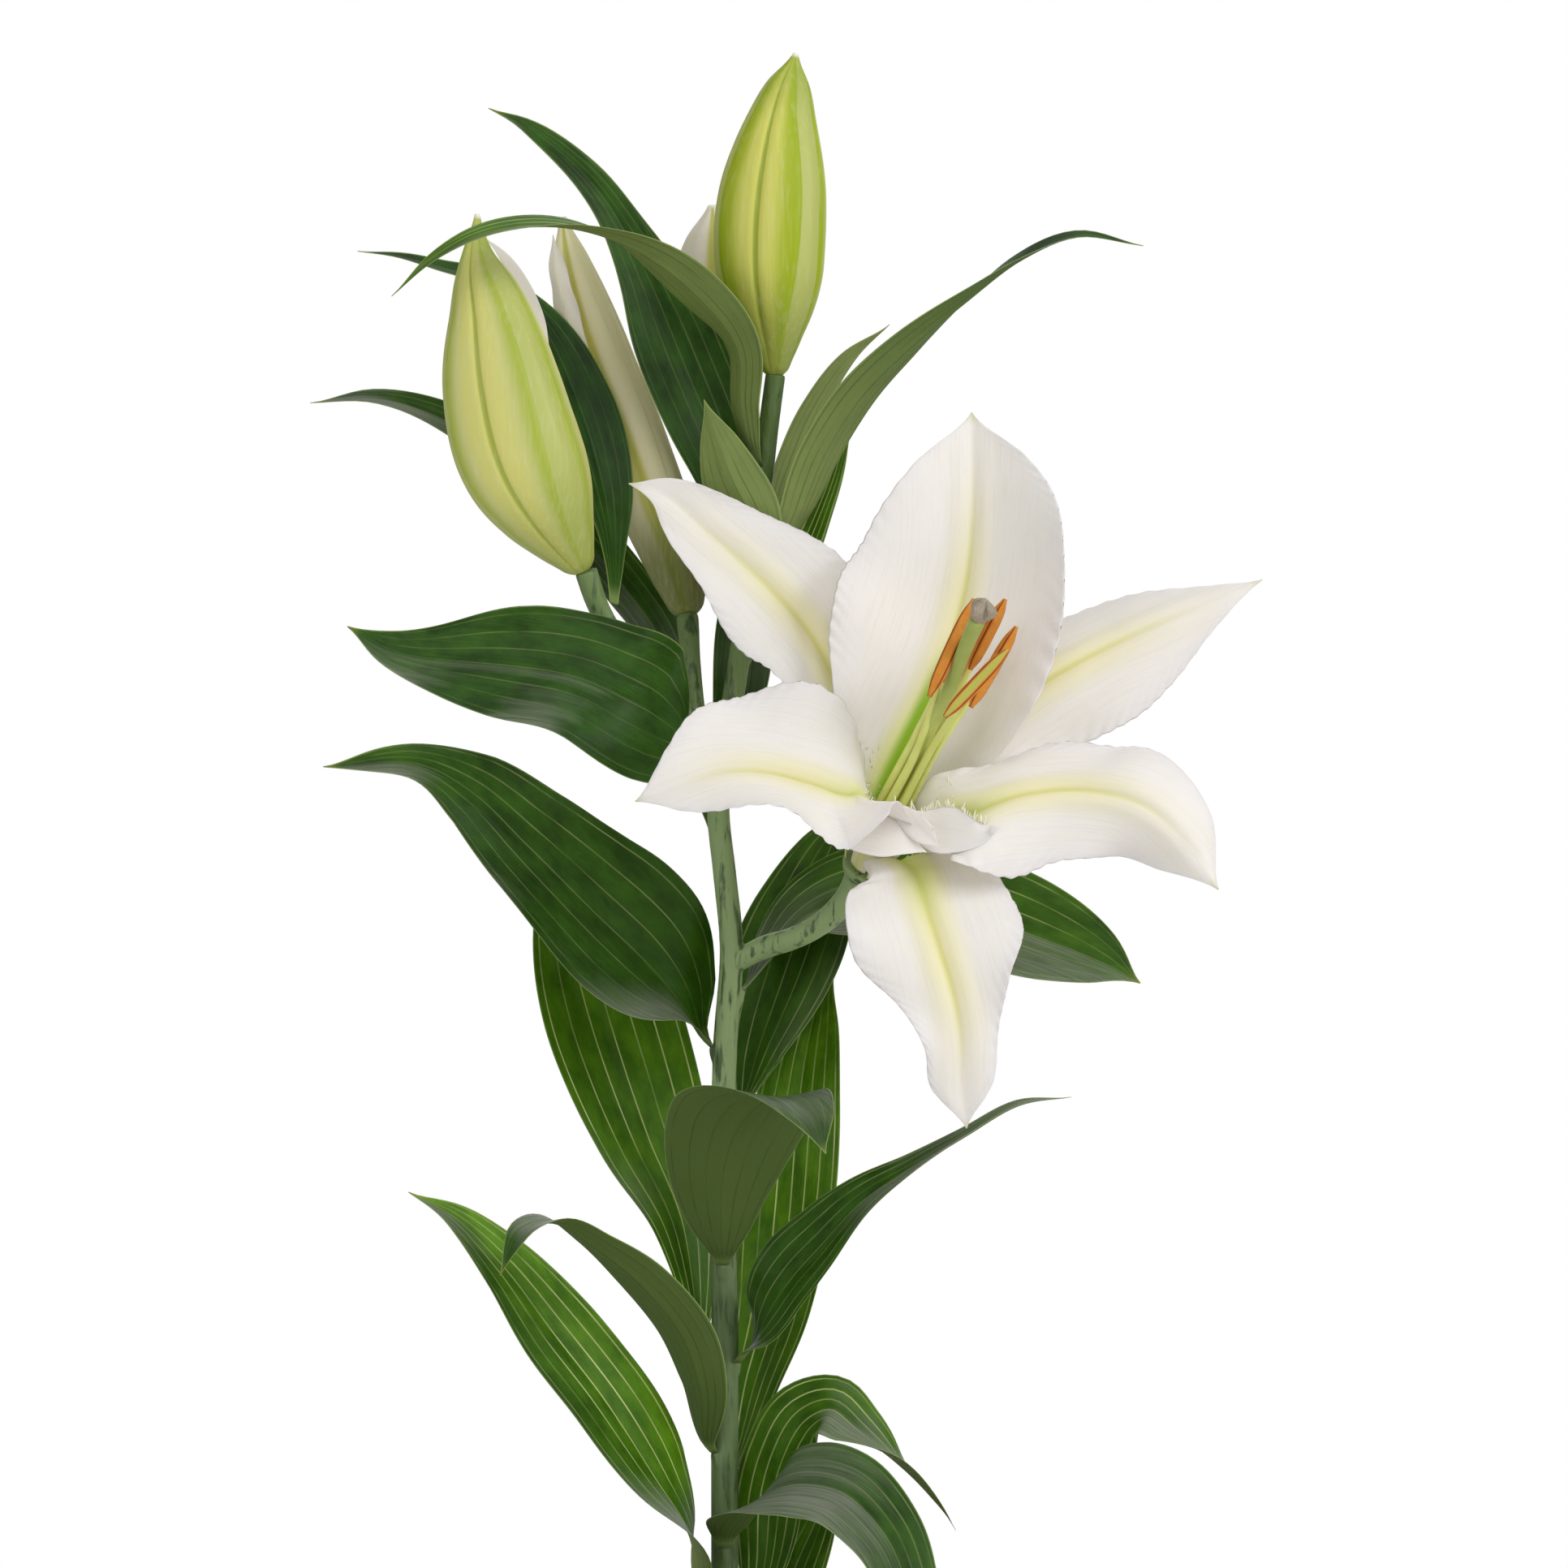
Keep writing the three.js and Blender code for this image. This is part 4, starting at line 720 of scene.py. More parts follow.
        upper=[[-0.4, -0.9, 0.2], [-0.4, -0.9, 0.3], [-0.3, -0.9, 0.3]]),
    dict(name="leaf_24", glow=(0.05, 0.05), channel=[10, 10],
        line=[[4, 16, 472], [6, 30, 495], [8, 42, 520], [9, 52, 545]],
        half=[2, 7, 9, 8, 5, 0.5],
        upper=[[0, -0.8, 0.5], [0, -0.8, 0.6], [0, -0.7, 0.7]]),
    dict(name="leaf_25", glow=(0.2, 0.2), channel=[12, 12],
        line=[[-14, 15, 174], [-34, 36, 186], [-58, 60, 188], [-80, 84, 176]],
        half=[2, 8, 12, 12, 8, 0.5],
        upper=[[0.3, -0.3, 0.8], [0, 0, 1], [-0.3, 0.4, 0.9]]),
    dict(name="leaf_26", glow=(0.25, 0.2), channel=[12, 12],
        line=[[12, -17, 188], [30, -42, 197], [48, -72, 194], [62, -98, 180]],
        half=[2, 8, 12, 12, 8, 0.5],
        upper=[[-0.3, 0.3, 0.8], [0, 0, 1], [0.3, -0.4, 0.9]]),
    dict(name="leaf_27", glow=(0.2, 0.25), channel=[12, 12],
        line=[[-16, 1, 164], [-42, 3, 177], [-72, 5, 178], [-100, 4, 162]],
        half=[2, 8, 13, 12, 8, 0.5],
        upper=[[0.5, 0, 0.8], [0, 0, 1], [-0.4, 0, 0.9]]),
    dict(name="leaf_28", glow=(0.15, 0.15), channel=[12, 12],
        line=[[5, 18, 161], [14, 46, 174], [24, 78, 174], [32, 106, 158]],
        half=[2, 8, 12, 12, 8, 0.5],
        upper=[[0, -0.5, 0.8], [0, 0, 1], [0, 0.4, 0.9]]),
    dict(name="leaf_29", glow=(0.2, 0.2), channel=[12, 12],
        line=[[-14, -12, 150], [-36, -32, 164], [-60, -54, 166], [-82, -76, 154]],
        half=[2, 8, 12, 12, 7, 0.5],
        upper=[[0.4, 0.4, 0.8], [0, 0, 1], [-0.4, -0.4, 0.9]]),
]
# The bract on the left bud's stalk, which has no cushion.
BRACT = dict(
    spine=[(-32.6, -12.4, 500), (-33, -5, 513), (-36, 6, 535), (-43, 10, 559), (-55, 14, 584),
        (-71, 14, 597), (-85, 10, 601), (-97, 8, 604), (-109, 6, 605)],
    half=[1.6, 4.5, 9, 11, 9.5, 6, 3.5, 2, 0.5],
    upper=[(0.6, -0.8, 0.2), (0.3, -0.9, 0.3), (0, -0.7, 0.7)],
    glow=(0, 0),
    bloom=0.2,
)
MAIN_VEINS = 3.4  # main veins on each half of a leaf


def veined(s, t, w):
    """The relief of a leaf: a channel along the midrib, and shallow swellings between the main veins."""
    ends = np.sin(np.pi * np.clip(t, 0, 1)) ** 0.5
    return -0.5 * np.exp(-((s * w / 1.8) ** 2)) * ends - 0.003 * w * ends * np.cos(2 * np.pi * MAIN_VEINS * s)


# Leaf cuticle: waxy and deep green above, with blotches, fine striations, and main veins; matt olive below,
# with darker veins. Painted backlight makes both sides lighter and the veins above pale. A thin pale margin
# runs round it.
# Where a blade faces upwards a silvery painted reflection of the overhead light lies on it, broken into
# streaks.
# The marks: "growth" is the place across, along, and the side; "span" the half width and run in mm, and the
# painted backlight; the third value of "bloom" is how far the upper side faces upwards, for the painted
# reflection.
cuticle = material("lily_leaf_cuticle", {"Specular IOR Level": 0.2})
growth, span, bloom = (
    add(cuticle, "Attribute", {}, "Vector", attribute_name=mark) for mark in ("growth", "span", "bloom")
)
across, along, side = add(cuticle, "SeparateXYZ", {0: growth}).node.outputs
width, run, glow = add(cuticle, "SeparateXYZ", {0: span}).node.outputs
bloom = add(cuticle, "SeparateXYZ", {0: bloom}, 2)
upper_side = add(cuticle, "MapRange", {0: side, 1: -0.3, 2: 0.3}, **SMOOTH)
away = add(cuticle, "Math", {0: across}, operation="ABSOLUTE")
place = add(cuticle, "CombineXYZ", {0: add(cuticle, "Math", {0: across, 1: width}, **TIMES), 1: run})
# noises drawn out along the blade, by millimetres across and along it: fine threads, blotches, uneven veins
fibre, blotch, uneven = (
    add(cuticle, "TexNoise", {"Vector": add(cuticle, "Mapping", {"Vector": place, "Scale": drawn}), **kind})
    for drawn, kind in (
        ((1.5, 0.03, 1), {"Scale": 1.0, "Detail": 4}),
        ((0.13, 0.06, 1), {"Scale": 1.0, "Detail": 4, "Roughness": 0.6}),
        ((0.45, 0.02, 1), {"Scale": 1.0, "Detail": 2}),
    )
)
vein_step = add(cuticle, "Math", {0: away, 1: MAIN_VEINS}, **TIMES)
vein_step = add(cuticle, "Math", {0: vein_step, 1: 0.5}, operation="PINGPONG")
vein_mm = add(cuticle, "Math", {0: vein_step, 1: width}, **TIMES)
vein_mm = add(cuticle, "Math", {0: vein_mm, 1: MAIN_VEINS}, operation="DIVIDE")
vein = add(cuticle, "MapRange", {0: vein_mm, 1: 0.34, 2: 0.08}, **SMOOTH)
uneven = add(cuticle, "MapRange", {0: uneven, 1: 0.36, 2: 0.62, 3: 0.2})
fading = add(cuticle, "MapRange", {0: along, 1: 0.95, 2: 0.6, 3: 0.15, 4: 1.0})
for share in (uneven, fading):
    vein = add(cuticle, "Math", {0: vein, 1: share}, **TIMES)
patch = add(cuticle, "MapRange", {0: blotch, 1: 0.35, 2: 0.65})
reflection_streaks = add(cuticle, "MapRange", {0: fibre, 1: 0.3, 2: 0.65, 3: 0.35, 4: 0.85})
# how pale the veins are painted where light shines through: painted backlight
painted_backlit_veins = add(cuticle, "MapRange", {0: glow, 1: 0.05, 2: 0.6, 3: 0.08, 4: 1.0})
spot = add(cuticle, "TexCoord", {}, "Object")
pores = add(cuticle, "TexNoise", {"Vector": spot, "Scale": 1500, "Detail": 2})
painted_backlit_veins, mottle, under_vein, dip, painted_reflection, uneven_gloss, pores = (
    add(cuticle, "Math", {0: pattern, 1: share}, **TIMES)
    for pattern, share in (
        (painted_backlit_veins, vein), (patch, 0.3), (vein, 0.5), (vein, 0.4), (bloom, reflection_streaks), (blotch, 0.16), (pores, 0.35),
    )
)
thread = add(cuticle, "MapRange", {0: fibre, 1: 0.45, 2: 0.7, 4: 0.14})
deep = tinted(cuticle, "#112d02", ("#264e0d", patch))
# the painted backlit green that the upper side takes where glow is high
painted_backlit_green = tinted(cuticle, "#437000", ("#65960c", patch))
top_green = tinted(
    cuticle, deep,
    (painted_backlit_green, glow),
    ("#37640a", (along, 0.35, 0.0, 0.55)),
    ("#3f6a1c", thread),
    ("#ccd68c", painted_backlit_veins),
    # the painted silvery reflection of the overhead light
    ("#8b9080", painted_reflection),
)
# the olive underside, painted lighter where glow, the painted backlight, is high
under = tinted(cuticle, "#415a1e", ("#95a360", glow), ("#55693a", mottle), ("#33491d", under_vein))
margin_mm = add(cuticle, "Math", {0: 1.0, 1: away}, operation="SUBTRACT")
margin_mm = add(cuticle, "Math", {0: margin_mm, 1: width}, **TIMES)
leaf_green = tinted(
    cuticle, under,
    (top_green, upper_side),
    ("#a9bd74", (margin_mm, 0.45, 0.1, 0.5)),
    ("#8fa45f", (along, 0.05, 0.0, 0.7)),  # the pale foot
    ("#8a9142", (along, 0.96, 1.0, 0.6)),  # the withering tip
)
shine = add(cuticle, "MapRange", {0: upper_side, 3: 0.6, 4: 0.34})
rough = add(cuticle, "Math", {0: shine, 1: uneven_gloss}, operation="ADD")
relief = add(cuticle, "Math", {0: fibre, 1: pores}, operation="ADD")
relief = add(cuticle, "Math", {0: relief, 1: dip}, operation="SUBTRACT")
dress(cuticle, leaf_green, rough, relief, 0.4, 0.0004)

for leaf in LEAVES:
    at, outwards, knee = foot(*FEET[leaf["name"]])
    face = unit(np.array((0, 0, 3.0)) - outwards * 3.5)  # square to the knee
    shape = {key: leaf[key] for key in leaf if key not in ("name", "line", "upper")}
    body, _, _ = blade([at, knee, *leaf["line"]], upper=[face, *leaf["upper"]], relief=veined, **shape)
    piece(leaf["name"] + "_blade", [body], cuticle, "leaf", leaf["name"])
piece("leaf_03_blade", [blade(relief=veined, **BRACT)[0]], cuticle, "leaf", "leaf_03")

# The bloom: three narrow outer tepals and three broad inner ones in front of them, on a green receptacle.
# They are thick and waxy, gutter-shaped along the midrib, with waved margins that crimp on the inner ones.
# "glow" is how green the groove at the foot of a tepal's midrib is, on its left and right half.
UPWARDS = square(np.array((0, 0, 1.0)), FLOWER_AXIS)
TEPAL_ROWS, TEPAL_COLUMNS, TEPAL_THICK = 110, 64, 0.8


def spoke(degrees):
    """The way out from the bloom's axis at a place round it, in degrees from the top."""
    turn = np.radians(degrees)
    return UPWARDS * np.cos(turn) + np.cross(FLOWER_AXIS, UPWARDS) * np.sin(turn)


def on_tube(rise, degrees, reach):
    """A point at that reach from the bloom's axis."""
    return on_axis(rise) + spoke(degrees) * reach


INNER = [(0.5, 5.2), (12, 8), (20, 11)]  # rise and reach of an inner tepal's first points
CLOSE = [(0.5, 5.2), (12, 7), (20, 8.5)]
OUTER = [(0.5, 6.9), (13, 12.5), (21, 18)]
DEEP = [(0.5, 6.9), (11, 9.5)]
TEPALS = [
    dict(name="tepal_inner_top", turn=-12, whorl=INNER, glow=(0.95, 0.95), channel=[18, 18], ripple=2.5,
        line=[[62, -28, 477], [70, -21, 502], [73, -12, 524], [73, 2, 557]],
        half=[3, 10, 24, 34, 36, 34.5, 29, 17, 0.8],
        upper=[[-0.1, -0.8, 0], [-0.3, -1, 0.2], [-0.3, -1, 0.3], [0, -0.9, 0.5]]),
    dict(name="tepal_outer_left", turn=60, whorl=DEEP, glow=(0.1, 0.1), channel=[8, 8], ripple=2,
        line=[[36, -24, 451], [36, -20, 467], [26, -14, 490], [13, -13, 505], [-6, -15, 522],
            [-18, -18, 532], [-28, -20, 535]],
        half=[2.5, 6, 11, 17, 21, 20.5, 15, 9, 0.8],
        upper=[[0.5, -0.8, 0], [0.4, -0.9, 0.1], [0.2, -1, 0.2], [-0.2, -1, 0.2]]),
    dict(name="tepal_inner_left", turn=120, whorl=CLOSE, glow=(0.25, 0.25), ripple=3,
        channel=[12, 20, 20, 20, 20],
        line=[[39, -47.5, 444], [36, -50, 449], [30, -54, 452.5], [16, -61, 453], [2, -66, 451],
            [-11, -68, 447], [-25, -68, 442]],
        half=[3, 6.4, 16.5, 24, 28, 25.5, 20, 11, 0.8],
        upper=[[0.65, 0.35, 0.35], [0.63, -0.05, 0.38], [0.35, -0.75, 0.5], [0, -0.8, 0.6], [0, -0.8, 0.5],
            [-0.2, -0.9, 0.3]],
        lean=[0, -2, -6, -10, -7, -3, 0, 0, 0]),
    dict(name="tepal_outer_bottom", turn=180, whorl=OUTER, glow=(0.12, 0.12), channel=[6, 6], ripple=2.5,
        line=[[56, -52, 421], [59, -60, 409], [62.5, -64, 393], [67, -63, 372], [70, -56, 348]],
        half=[2.5, 7, 16, 24, 25, 16.5, 11, 9, 0.8],
        upper=[[0, -0.3, 0.9], [0, -0.8, 0.5], [0, -1, 0.1], [0, -1, -0.2]],
        lean=[0, 0, 0, 0, -1, -2, -1.5, 0, 0]),
    dict(name="tepal_inner_right", turn=240, whorl=INNER, glow=(0.3, 0.3), ripple=3,
        channel=[15, 10, -20, -32, -32],
        line=[[64, -45, 445], [72, -49.5, 448], [81, -53, 448.5], [95, -57, 446.3], [107, -61, 442.4],
            [119, -63, 437.3], [131, -63, 429.2], [142, -62, 416.7]],
        half=[3, 5.5, 14, 19, 24, 22.5, 19, 13, 0.8],
        upper=[[-0.5, -0.6, 0.4], [0, -0.82, 0.57], [0.1, -0.95, 0], [0.3, -0.9, -0.3]],
        lean=[0, 1, 9, 11, 4, -2, -4, -2, 0]),
    dict(name="tepal_outer_right", turn=300, whorl=OUTER, glow=(0.1, 0.1), ripple=2,
        channel=[12, 0, -26, -26, -26],
        line=[[68, -27, 456.5], [82, -22, 469], [97, -18, 479], [116, -14, 489], [135, -13, 497.5],
            [158, -14, 507]],
        half=[2.5, 6, 10, 17, 22, 23, 17, 8, 0.8],
        upper=[[-0.2, -0.9, 0], [0, -0.9, 0.4], [0, -0.88, 0.47], [0.2, -0.9, 0.4]]),
]
# At the throat three inner margins fold forwards: owner, spine, half widths, way that the upper side faces.
FOLDS = [
    (
        "tepal_inner_left",
        [(30, -62, 436), (37, -64, 433.5), (44, -65, 432), (51, -65, 430.3), (58.3, -64, 427.5)],
        [1, 5, 6.5, 6.2, 3.4, 0.5], (0.1, -0.95, 0.35),
    ),
    (
        "tepal_inner_right",
        [(52.4, -56, 439), (58, -57, 435), (66, -60, 433), (72.5, -62.2, 432.5), (79.5, -61.4, 434.5)],
        [1, 5, 7.5, 6.5, 3.5, 0.5], (-0.1, -0.95, 0.35),
    ),
    (
        "tepal_inner_right", [(48.4, -63, 441.3), (54.2, -65, 436), (58.5, -66, 432), (61.6, -66, 429)],
        [0.6, 2.8, 3.6, 3, 0.4], (-0.5, -0.85, 0.2),
    ),
]


def guttered(s, t, w):
    """The relief of a tepal: a gutter with raised banks along the midrib, and a crimp in the margins."""
    shut = np.sin(np.pi * np.clip(t, 0, 1)) ** 0.7
    d = np.abs(s) * w
    gutter = -0.9 * np.exp(-((d / 1.6) ** 2)) + 0.55 * np.exp(-(((d - 4.2) / 2.2) ** 2))
    crimp = 0.5 * np.abs(s) ** 7 * np.sin(2 * np.pi * (17 * t + 2.5 * np.sin(5 * t + 3 * s)))
    return shut * (gutter + crimp)


# Tepal flesh: satin white with a warm shade, a yellow-green midrib that fades to the tip, and a green throat.
# Fine ribs run lengthwise, the margins take a painted lilac-grey shade, and light sinks a little way into it.
flesh = material(
    "white_tepal_flesh",
    {
        "Specular IOR Level": 0.35, "Subsurface Weight": 0.3, "Subsurface Scale": 0.003,
        "Subsurface Radius": (1.0, 0.9, 0.7),
    },
)
growth, span = (add(flesh, "Attribute", {}, "Vector", attribute_name=mark) for mark in ("growth", "span"))
across, along, side = add(flesh, "SeparateXYZ", {0: growth}).node.outputs
width, run, green_groove = add(flesh, "SeparateXYZ", {0: span}).node.outputs
spot = add(flesh, "TexCoord", {}, "Object")
away = add(flesh, "Math", {0: across}, operation="ABSOLUTE")
away_mm = add(flesh, "Math", {0: away, 1: width}, **TIMES)
place_mm = add(flesh, "CombineXYZ", {0: add(flesh, "Math", {0: across, 1: width}, **TIMES), 1: run})
drawn = add(flesh, "Mapping", {"Vector": place_mm, "Scale": (1.3, 0.05, 1)})
rib = add(flesh, "TexNoise", {"Vector": drawn, "Scale": 1.0, "Detail": 4})
cloud = add(flesh, "TexNoise", {"Vector": spot, "Scale": 45, "Detail": 3})
sparkle = add(flesh, "TexNoise", {"Vector": spot, "Scale": 1800, "Detail": 2})
shade = add(flesh, "MapRange", {0: rib, 1: 0.5, 2: 0.75, 4: 0.28})
fade = add(flesh, "MapRange", {0: along, 1: 0.97, 2: 0.5}, **SMOOTH)
upper_side = add(flesh, "MapRange", {0: side, 1: -0.3, 2: 0.3}, **SMOOTH)
white = tinted(
    flesh, "#eee7de",
    ("#f5f0ea", cloud),
    ("#ddd4cf", shade),
    ("#ebe5ea", (away, 0.6, 1, 0.35)),  # painted lilac-grey shade on the margins
    ("#ece3a6", (away_mm, 11, 1, 0.75), fade),  # the glow along the midrib
    ("#d6d27c", (away_mm, 1.9, 0.2, 0.7), fade),  # the midrib
    ("#d2de70", (along, 0.5, 0.15, 0.7), (away_mm, 10, 1.5, 1), upper_side),  # the throat
    ("#84b004", (along, 0.52, 0.32, 1), (away_mm, 4.6, 1.2, 1), upper_side, green_groove),
    ("#cfcf94", (along, 0.965, 1, 0.7)),  # the tip
)
relief = add(flesh, "Math", {0: sparkle, 1: 0.3}, **TIMES)
relief = add(flesh, "Math", {0: rib, 1: relief}, operation="ADD")
dress(flesh, white, (rib, 0.42, 0.6), relief, 0.2, 0.0005)

grids, edges = {}, []
FOLD_TONE = 0.962  # the place along a tepal whose plain white a fold has
for tepal in TEPALS:
    turn, name = tepal["turn"], tepal["name"]
    spine = [on_tube(rise, turn, reach) for rise, reach in tepal["whorl"]] + tepal["line"]
    upper = [spoke(turn + 180), *tepal["upper"]]
    shape = {key: tepal[key] for key in tepal if key not in ("name", "turn", "whorl", "line", "upper")}
    shape |= {"rows": TEPAL_ROWS, "columns": TEPAL_COLUMNS, "thick": TEPAL_THICK, "phase": turn / 40}
    body, *grids[name] = blade(spine, upper=upper, relief=guttered, **shape)
    bodies = [body]
    for _, fold, half, faces in (row for row in FOLDS if row[0] == name):
        body, middle, _ = blade(fold, half, [faces, faces], rows=30, columns=16, thick=TEPAL_THICK)
        body["marks"]["growth"][:, 1] = FOLD_TONE
        bodies.append(body)
        edges.append(middle[:, 1])
    piece(f"{name}_blade", bodies, flesh, "tepal", name)

# Papillae: soft white teeth on the upper sides of the tepals round the throat, thickest by the midrib, with
# a comb of longer ones on the margin of a fold. The real ones are 0.2 to 0.4 mm thick, drawn a little
# thicker so that they show.
PAPILLA_RADII = (0.26, 0.2, 0.07)  # at the root, at six tenths of the height, and at the tip
COMBS = (12, 46, 4)  # teeth on the margin of each fold
angle = np.linspace(0, 2 * np.pi, 5, endpoint=False)


def tooth(at, up, tall):
    """A pointed tooth with its root at a place."""
    first = square(np.array((0.31, 0.44, 0.84)), up)
    ring = first * np.cos(angle)[:, None] + np.cross(up, first) * np.sin(angle)[:, None]
    rises = zip((0, 0.6, 1), PAPILLA_RADII)
    return skin(np.stack([at + up * tall * rise + ring * radius for rise, radius in rises]))


teeth = []
# tepal, number of teeth, and how far along it they reach from an eighth of its length
for name, count, reach in (
    ("tepal_inner_top", 40, 0.1), ("tepal_inner_left", 80, 0.2), ("tepal_inner_right", 80, 0.2),
    ("tepal_outer_left", 14, 0.2), ("tepal_outer_right", 14, 0.2), ("tepal_outer_bottom", 12, 0.12),
):
    middle, normal = grids[name]
    i = (TEPAL_ROWS * (0.12 + reach * chance.random(count) ** 1.3)).astype(int)
    j = chance.choice([-1, 1], count) * (3 + 20 * chance.random(count) ** 1.5)
    j = TEPAL_COLUMNS // 2 + j.astype(int)
    tall = 0.5 + 2.0 * chance.random(count) ** 1.8
    lean = unit(normal[i, j] * 0.45 + (0, 0, 0.9) + chance.normal(0, 0.3, (count, 3)))
    teeth += [tooth(at, up, h) for at, up, h in zip(middle[i, j] + normal[i, j] * 0.25, lean, tall)]
for edge, count in zip(edges, COMBS):
    lean = unit(np.array((0.1, -0.3, 1)) + chance.normal(0, 0.3, (count, 3)))
    root = edge[chance.integers(1, 27, count)]
    teeth += [tooth(at, up, h) for at, up, h in zip(root, lean, 1 + 2.2 * chance.random(count))]
papilla = material("papilla_flesh", {"Specular IOR Level": 0.3})
spot = add(papilla, "TexCoord", {}, "Object")
cloud = add(papilla, "TexNoise", {"Vector": spot, "Scale": 300, "Detail": 2})
dress(papilla, tinted(papilla, "#faf8f0", ("#efefd0", cloud)), (cloud, 0.4, 0.6))
piece("throat_papillae", teeth, papilla, "tepal")

# The pistil: a pale ovary with a long three-edged style, greener upwards, that ends in the stigma.
# The stigma is a three-lobed cushion, warm grey and sticky, with fine bristles that read as a matt grain.
green_flesh = material(
    "style_flesh",
    {
        "Specular IOR Level": 0.45, "Subsurface Weight": 0.2, "Subsurface Scale": 0.002,
        "Subsurface Radius": (0.8, 1.0, 0.3),
    },
)
mark = add(green_flesh, "Attribute", {}, "Vector", attribute_name="growth")
_, along, dark = add(green_flesh, "SeparateXYZ", {0: mark}).node.outputs
spot = add(green_flesh, "TexCoord", {}, "Object")
cloud = add(green_flesh, "TexNoise", {"Vector": spot, "Scale": 260, "Detail": 4})
pale_green = tinted(green_flesh, "#cdd465", ("#e0e394", cloud))
upper_green = tinted(green_flesh, "#93a54a", ("#adb766", cloud))
tube_green = tinted(green_flesh, pale_green, (upper_green, (along, 0.35, 0.8, 1), dark))
dress(green_flesh, tube_green, (cloud, 0.35, 0.5), cloud, 0.3, 0.0003)

STYLE_LINE = [
    on_axis(0.5), on_axis(14), (51, -39, 445), (58, -49, 459), (64.2, -59, 473), (69.6, -69, 487),
    (72.6, -74, 494),
]
three_edged = lambda t, angle, r: 1 + 0.06 * np.cos(3 * angle)
style = tube(
    STYLE_LINE, [2.3, 2.3, 1.9, 1.7, 1.8, 2.1, 2.4], sides=24, rings=60, side=(0, 0, 1), relief=three_edged
)
style["marks"]["growth"][:, 2] = 1
piece("ovary_and_style", [style], green_flesh, "style", "pistil")

pad = material(
    "stigma_cushion", {"Specular IOR Level": 0.5, "Subsurface Weight": 0.15, "Subsurface Scale": 0.001}
)
spot = add(pad, "TexCoord", {}, "Object")
grain = add(pad, "TexVoronoi", {"Vector": spot, "Scale": 1900})
cloud = add(pad, "TexNoise", {"Vector": spot, "Scale": 500, "Detail": 4})
dress(pad, tinted(pad, "#8d7f6c", ("#bcae9a", cloud)), (grain, 0.35, 0.7), grain, 0.7, 0.0004)


def lobed(t, angle, r):
    """Three rounded lobes with a narrow furrow between each pair, deepest on the top."""
    furrow = np.exp(-((1 - np.abs(np.cos(1.5 * angle + np.pi / 2))) / 0.06) ** 2)
    return 1 + 0.3 * np.sin(np.pi * t) * np.cos(3 * angle) - (0.1 + 0.3 * t) * furrow


cushion = tube(
    [(72.7, -74.2, 493.9), (73.9, -76.2, 497), (74.7, -77.8, 499.3)],
    [2.2, 3, 3.5, 3.4, 2.5, 1], sides=60, rings=24, side=(0, 0, 1), relief=lobed,
)
piece("stigma_pad", [cushion], pad, "stigma", "stigma")

# The stamens: six tapering filaments from the throat, each with an anther balanced across its tip.
# An anther is two pollen sacs with a seam along each, brown orange with pollen, on a greenish middle strip.
ANTHERS = [
    # place round the axis, top end, lower end, way that the seam side faces
    (0, (78, -46, 498), (69, -44, 478), (0.2, -1, 0.2)),
    (300, (81, -58, 500), (71, -52, 480), (0.5, -0.8, 0.2)),
    (240, (84, -64, 492), (71, -60, 469), (0.5, -0.8, 0)),
    (180, (81, -78, 485), (63, -83, 466), (0.2, -0.9, 0.3)),
    (120, (72, -62, 500), (59, -68, 472), (-0.1, -1, 0.2)),
    (60, (71, -52, 495), (64, -50, 476), (-0.2, -1, 0)),
]
ANTHER_RADIUS, FILAMENT_TIP = 2.4, 0.6
FILAMENT_BEND = np.array((58.6, -49, 459))  # the middle of the bundle where it bends towards the viewer
SEAM = 0.3  # where a sac's seam lies, from the strip in front (0) to the back (1)
pollen = material(
    "pollen_covered_anther", {"Specular IOR Level": 0.3, "Sheen Weight": 0.15, "Sheen Roughness": 0.4}
)
mark = add(pollen, "Attribute", {}, "Vector", attribute_name="growth")
around, _, strip = add(pollen, "SeparateXYZ", {0: mark}).node.outputs
spot = add(pollen, "TexCoord", {}, "Object")
grain = add(pollen, "TexNoise", {"Vector": spot, "Scale": 2600, "Detail": 3})
cloud = add(pollen, "TexNoise", {"Vector": spot, "Scale": 350, "Detail": 3})
turned_away = add(pollen, "Math", {0: around}, operation="ABSOLUTE")
seam = add(pollen, "Math", {0: turned_away, 1: SEAM}, operation="SUBTRACT")
seam = add(pollen, "Math", {0: seam}, operation="ABSOLUTE")
orange = tinted(
    pollen, "#c96a14",
    ("#e59a3c", cloud),
    ("#b5b552", (turned_away, 0.2, 0.13, 1), strip),
    ("#7a3210", (seam, 0.075, 0.025, 0.9)),
)
dress(pollen, orange, (grain, 0.6, 0.9), grain, 0.5, 0.0003)


def sacs(t, angle, r):
    """Two sacs side by side: furrows in front and behind, and a fine seam along each sac."""
    turn = np.abs((angle + np.pi) % (2 * np.pi) - np.pi) / np.pi  # 0 in front and 1 behind
    furrow = 0.2 * np.exp(-((turn / 0.14) ** 2)) + 0.25 * np.exp(-(((turn - 1) / 0.14) ** 2))
    return 0.92 * (1 - furrow - 0.14 * np.exp(-(((turn - SEAM) / 0.045) ** 2)))


